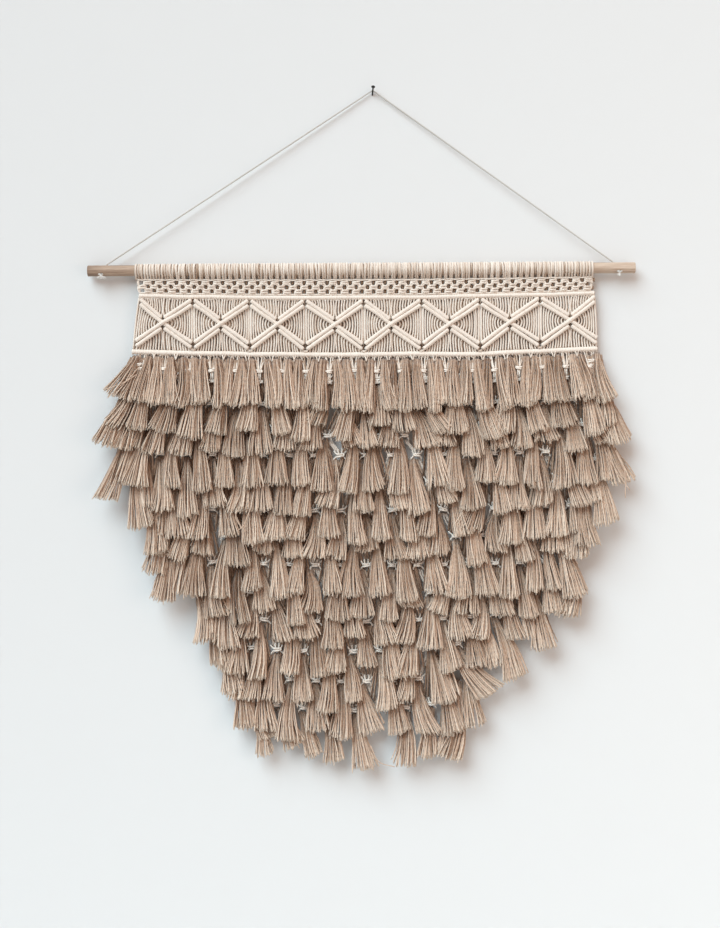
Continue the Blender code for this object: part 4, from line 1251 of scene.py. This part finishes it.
def tassel_rows():
    top_xs = {k: HEADING_LEFT + k * TOP_ROW_PITCH for k in range(TOP_ROW.first, TOP_ROW.last + 1)}
    rows = [(1, TOP_ROW, top_xs, SLIM)]
    for number, row in enumerate(NET_ROWS, start=2):
        rows.append((number, row, {k: column_x(number, k) for k in range(row.first, row.last + 1)}, FULL))
    for number, row, xs, look in rows:
        ends = (xs[row.first], xs[row.last])
        bundle = Bundle()
        for column, x in xs.items():
            if (number, column) == BARE_KNOT:
                continue
            rng = np.random.default_rng(1000 * number + column + 50)
            odd = ODD.get((number, column), STEADY if column in (row.first, row.last) else PLAIN)
            aside, away, short = give_way(number, x)
            wild = UNEVEN * uneven(number, column, 1) + rng.normal(0, look.half_tip / 2.8)
            lean = lean_of(row, column) + odd.shift + away + (wild if odd is PLAIN else 0.0)
            length = row.length - 0.0045 + UNEVEN * uneven(number, column, 2) + odd.longer - short
            length += rng.uniform(-0.5, 0.4) * look.half_tip * (1.0 if odd is PLAIN else 0.2)
            drop = math.sqrt(max(length**2 - lean**2, 0.0001)) + 0.0045
            pair = (0.0022 if column % 2 else -0.0022) if number == 1 else 0.0
            head = x + pair + odd.aside + aside + rng.normal(0, look.half_head / 4)
            dip = LOWER_BAR_FOOT.dip * math.exp(-(((x - DIP_X) / DIP_WIDTH) ** 2)) if number == 1 else 0.0
            if column in (row.first, row.last) or number > 12:
                back = (EDGE_BACK_WIDE, EDGE_BACK_LONG * drop)
            else:
                back = (BACK_WIDE, BACK_LONG * row.length)
            tassel(bundle, rng, head, row_z(row, x, ends) - odd.down - dip, drop, lean, look, odd, back=back)
        # one more near each end, where the net's edge is doubled
        for column, side in ((row.first, 1), (row.last, -1)):
            rng = np.random.default_rng(5000 + 10 * number + side)
            gap = xs[row.first + 1] - xs[row.first]
            x = xs[column] + side * gap * 0.45
            lean = lean_of(row, column) * 0.72
            drop = math.sqrt((row.length * 0.90) ** 2 - lean**2)
            tassel(bundle, rng, x, row_z(row, x, ends) - 0.004, drop, lean, EDGE, PLAIN, -0.0015)
        for loose in LOOSE:
            if loose.number == number:
                row_at = row_z(row, loose.start[0], ends)
                spots = [hang(x, -LOOSE_OUT - TASSEL_LEAN * max(row_at - z, 0), z) for x, z in loose[1:]]
                bundle.add(through(np.array(spots), 5), 0.00075, sides=4, tone=0.75)
        finish_piece(bundle, f"tassels_{number:02d}", TAUPE, f"tassel_row_{number:02d}")


# Stage


def plane(name, corners, material):
    mesh = bpy.data.meshes.new(name)
    mesh.from_pydata(corners, [], [(0, 1, 2, 3)])
    mesh.materials.append(material)
    made = bpy.data.objects.new(name, mesh)
    bpy.context.scene.collection.objects.link(made)
    made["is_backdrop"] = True
    return made


def lamp(name, kind, at, toward, power, colour):
    data = bpy.data.lights.new(name, kind)
    data.energy = power
    data.color = colour
    made = bpy.data.objects.new(name, data)
    made.location = at
    made.rotation_euler = (Vector(toward) - Vector(at)).to_track_quat("-Z", "Y").to_euler()
    bpy.context.scene.collection.objects.link(made)
    return data


SKY_COLOUR = (1.0, 0.66, 0.50)
SKY_STRENGTH = 0.52
SUN_FROM = (-0.44, -0.61, 0.66)
SUN_STRENGTH = 3.67
SUN_COLOUR = (0.706, 0.906, 1.0)
SUN_ANGLE = math.radians(48)


def sky():
    """Soft warm light from the front half of the room; the half behind the wall is dim."""
    world = bpy.data.worlds.new("studio")
    world.use_nodes = True
    bpy.context.scene.world = world
    paint = Shading(world.node_tree)
    place = paint.add("TexCoord").outputs["Generated"]
    front = paint.fit(paint.axis(place, "Y"), 0.10, -0.10, 0.02, SKY_STRENGTH)
    high = paint.fit(paint.axis(place, "Z"), -1.0, 1.0, 0.35, 1.45)
    strength = paint.math("MULTIPLY", front, high)
    paint.fill(paint.nodes["Background"], {"Color": (*SKY_COLOUR, 1.0), "Strength": strength})


FLOOR_Z = -1.9
FLOOR_HALF = 6.0
WALL_Y = 0.0006
WALL_HALF = 2.6
WALL_TOP = 1.1
WALL_FOOT = -1.9


def stage():
    bpy.context.scene.view_settings.view_transform = "Standard"
    sky()
    pale, paint = new_material("pale_floor")
    paint.principled(Base_Color=(0.60, 0.60, 0.59, 1.0), Roughness=0.9)
    corners = [(x * FLOOR_HALF, y * FLOOR_HALF, FLOOR_Z) for x, y in ((-1, -1), (1, -1), (1, 1), (-1, 1))]
    plane("floor", corners, pale)
    # the backdrop lets views from behind see through it
    wall, paint = new_material("pale_backdrop")
    paint.principled(Base_Color=(0.70, 0.705, 0.705, 1.0), Roughness=0.95, Specular_IOR_Level=0.1)
    behind_it = paint.add("NewGeometry").outputs["Backfacing"]
    seen, clear = paint.nodes["Principled BSDF"].outputs[0], paint.add("BsdfTransparent").outputs[0]
    mix = paint.add("MixShader", enumerate((behind_it, seen, clear)))
    paint.fill(paint.nodes["Material Output"], {"Surface": mix.outputs[0]})
    heights = ((-1, WALL_FOOT), (1, WALL_FOOT), (1, WALL_TOP), (-1, WALL_TOP))
    backdrop = plane("backdrop", [(side * WALL_HALF, WALL_Y, z) for side, z in heights], wall)
    backdrop.visible_shadow = False
    middle = np.array((0.0, 0.0, -0.65))
    key = lamp("key", "SUN", middle + 4.0 * np.array(SUN_FROM), middle, SUN_STRENGTH, SUN_COLOUR)
    key.angle = SUN_ANGLE
    fill = lamp("fill", "AREA", (2.2, -2.2, -0.9), (0.2, 0.0, -0.8), 15.0, (1.0, 0.80, 0.66))
    fill.shape, fill.size = "DISK", 1.8
    behind = lamp("behind", "AREA", (0.6, 2.6, 0.6), (0.0, 0.0, -0.7), 7.0, (1.0, 0.95, 0.90))
    behind.shape, behind.size = "DISK", 2.0


camera()
hanging_cord()
larks_heads()
knot_band()
bar("upper_bar_hitches", "upper_bar", BAND_FOOT, UPPER_BAR_FOOT, 0.0040, 21)
diamond_cords()
ridge_ropes()
bar("lower_bar_hitches", "lower_bar", LOWER_BAR_TOP, LOWER_BAR_FOOT, 0.0046, 22)
ground_net()
tassel_rows()
stage()

for node, material in (("dowel", wood()), ("nail", black_steel())):
    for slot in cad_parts[node].material_slots:
        slot.material = material

[np.array(b).tolist() for b in (CAD_BOX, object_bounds())]
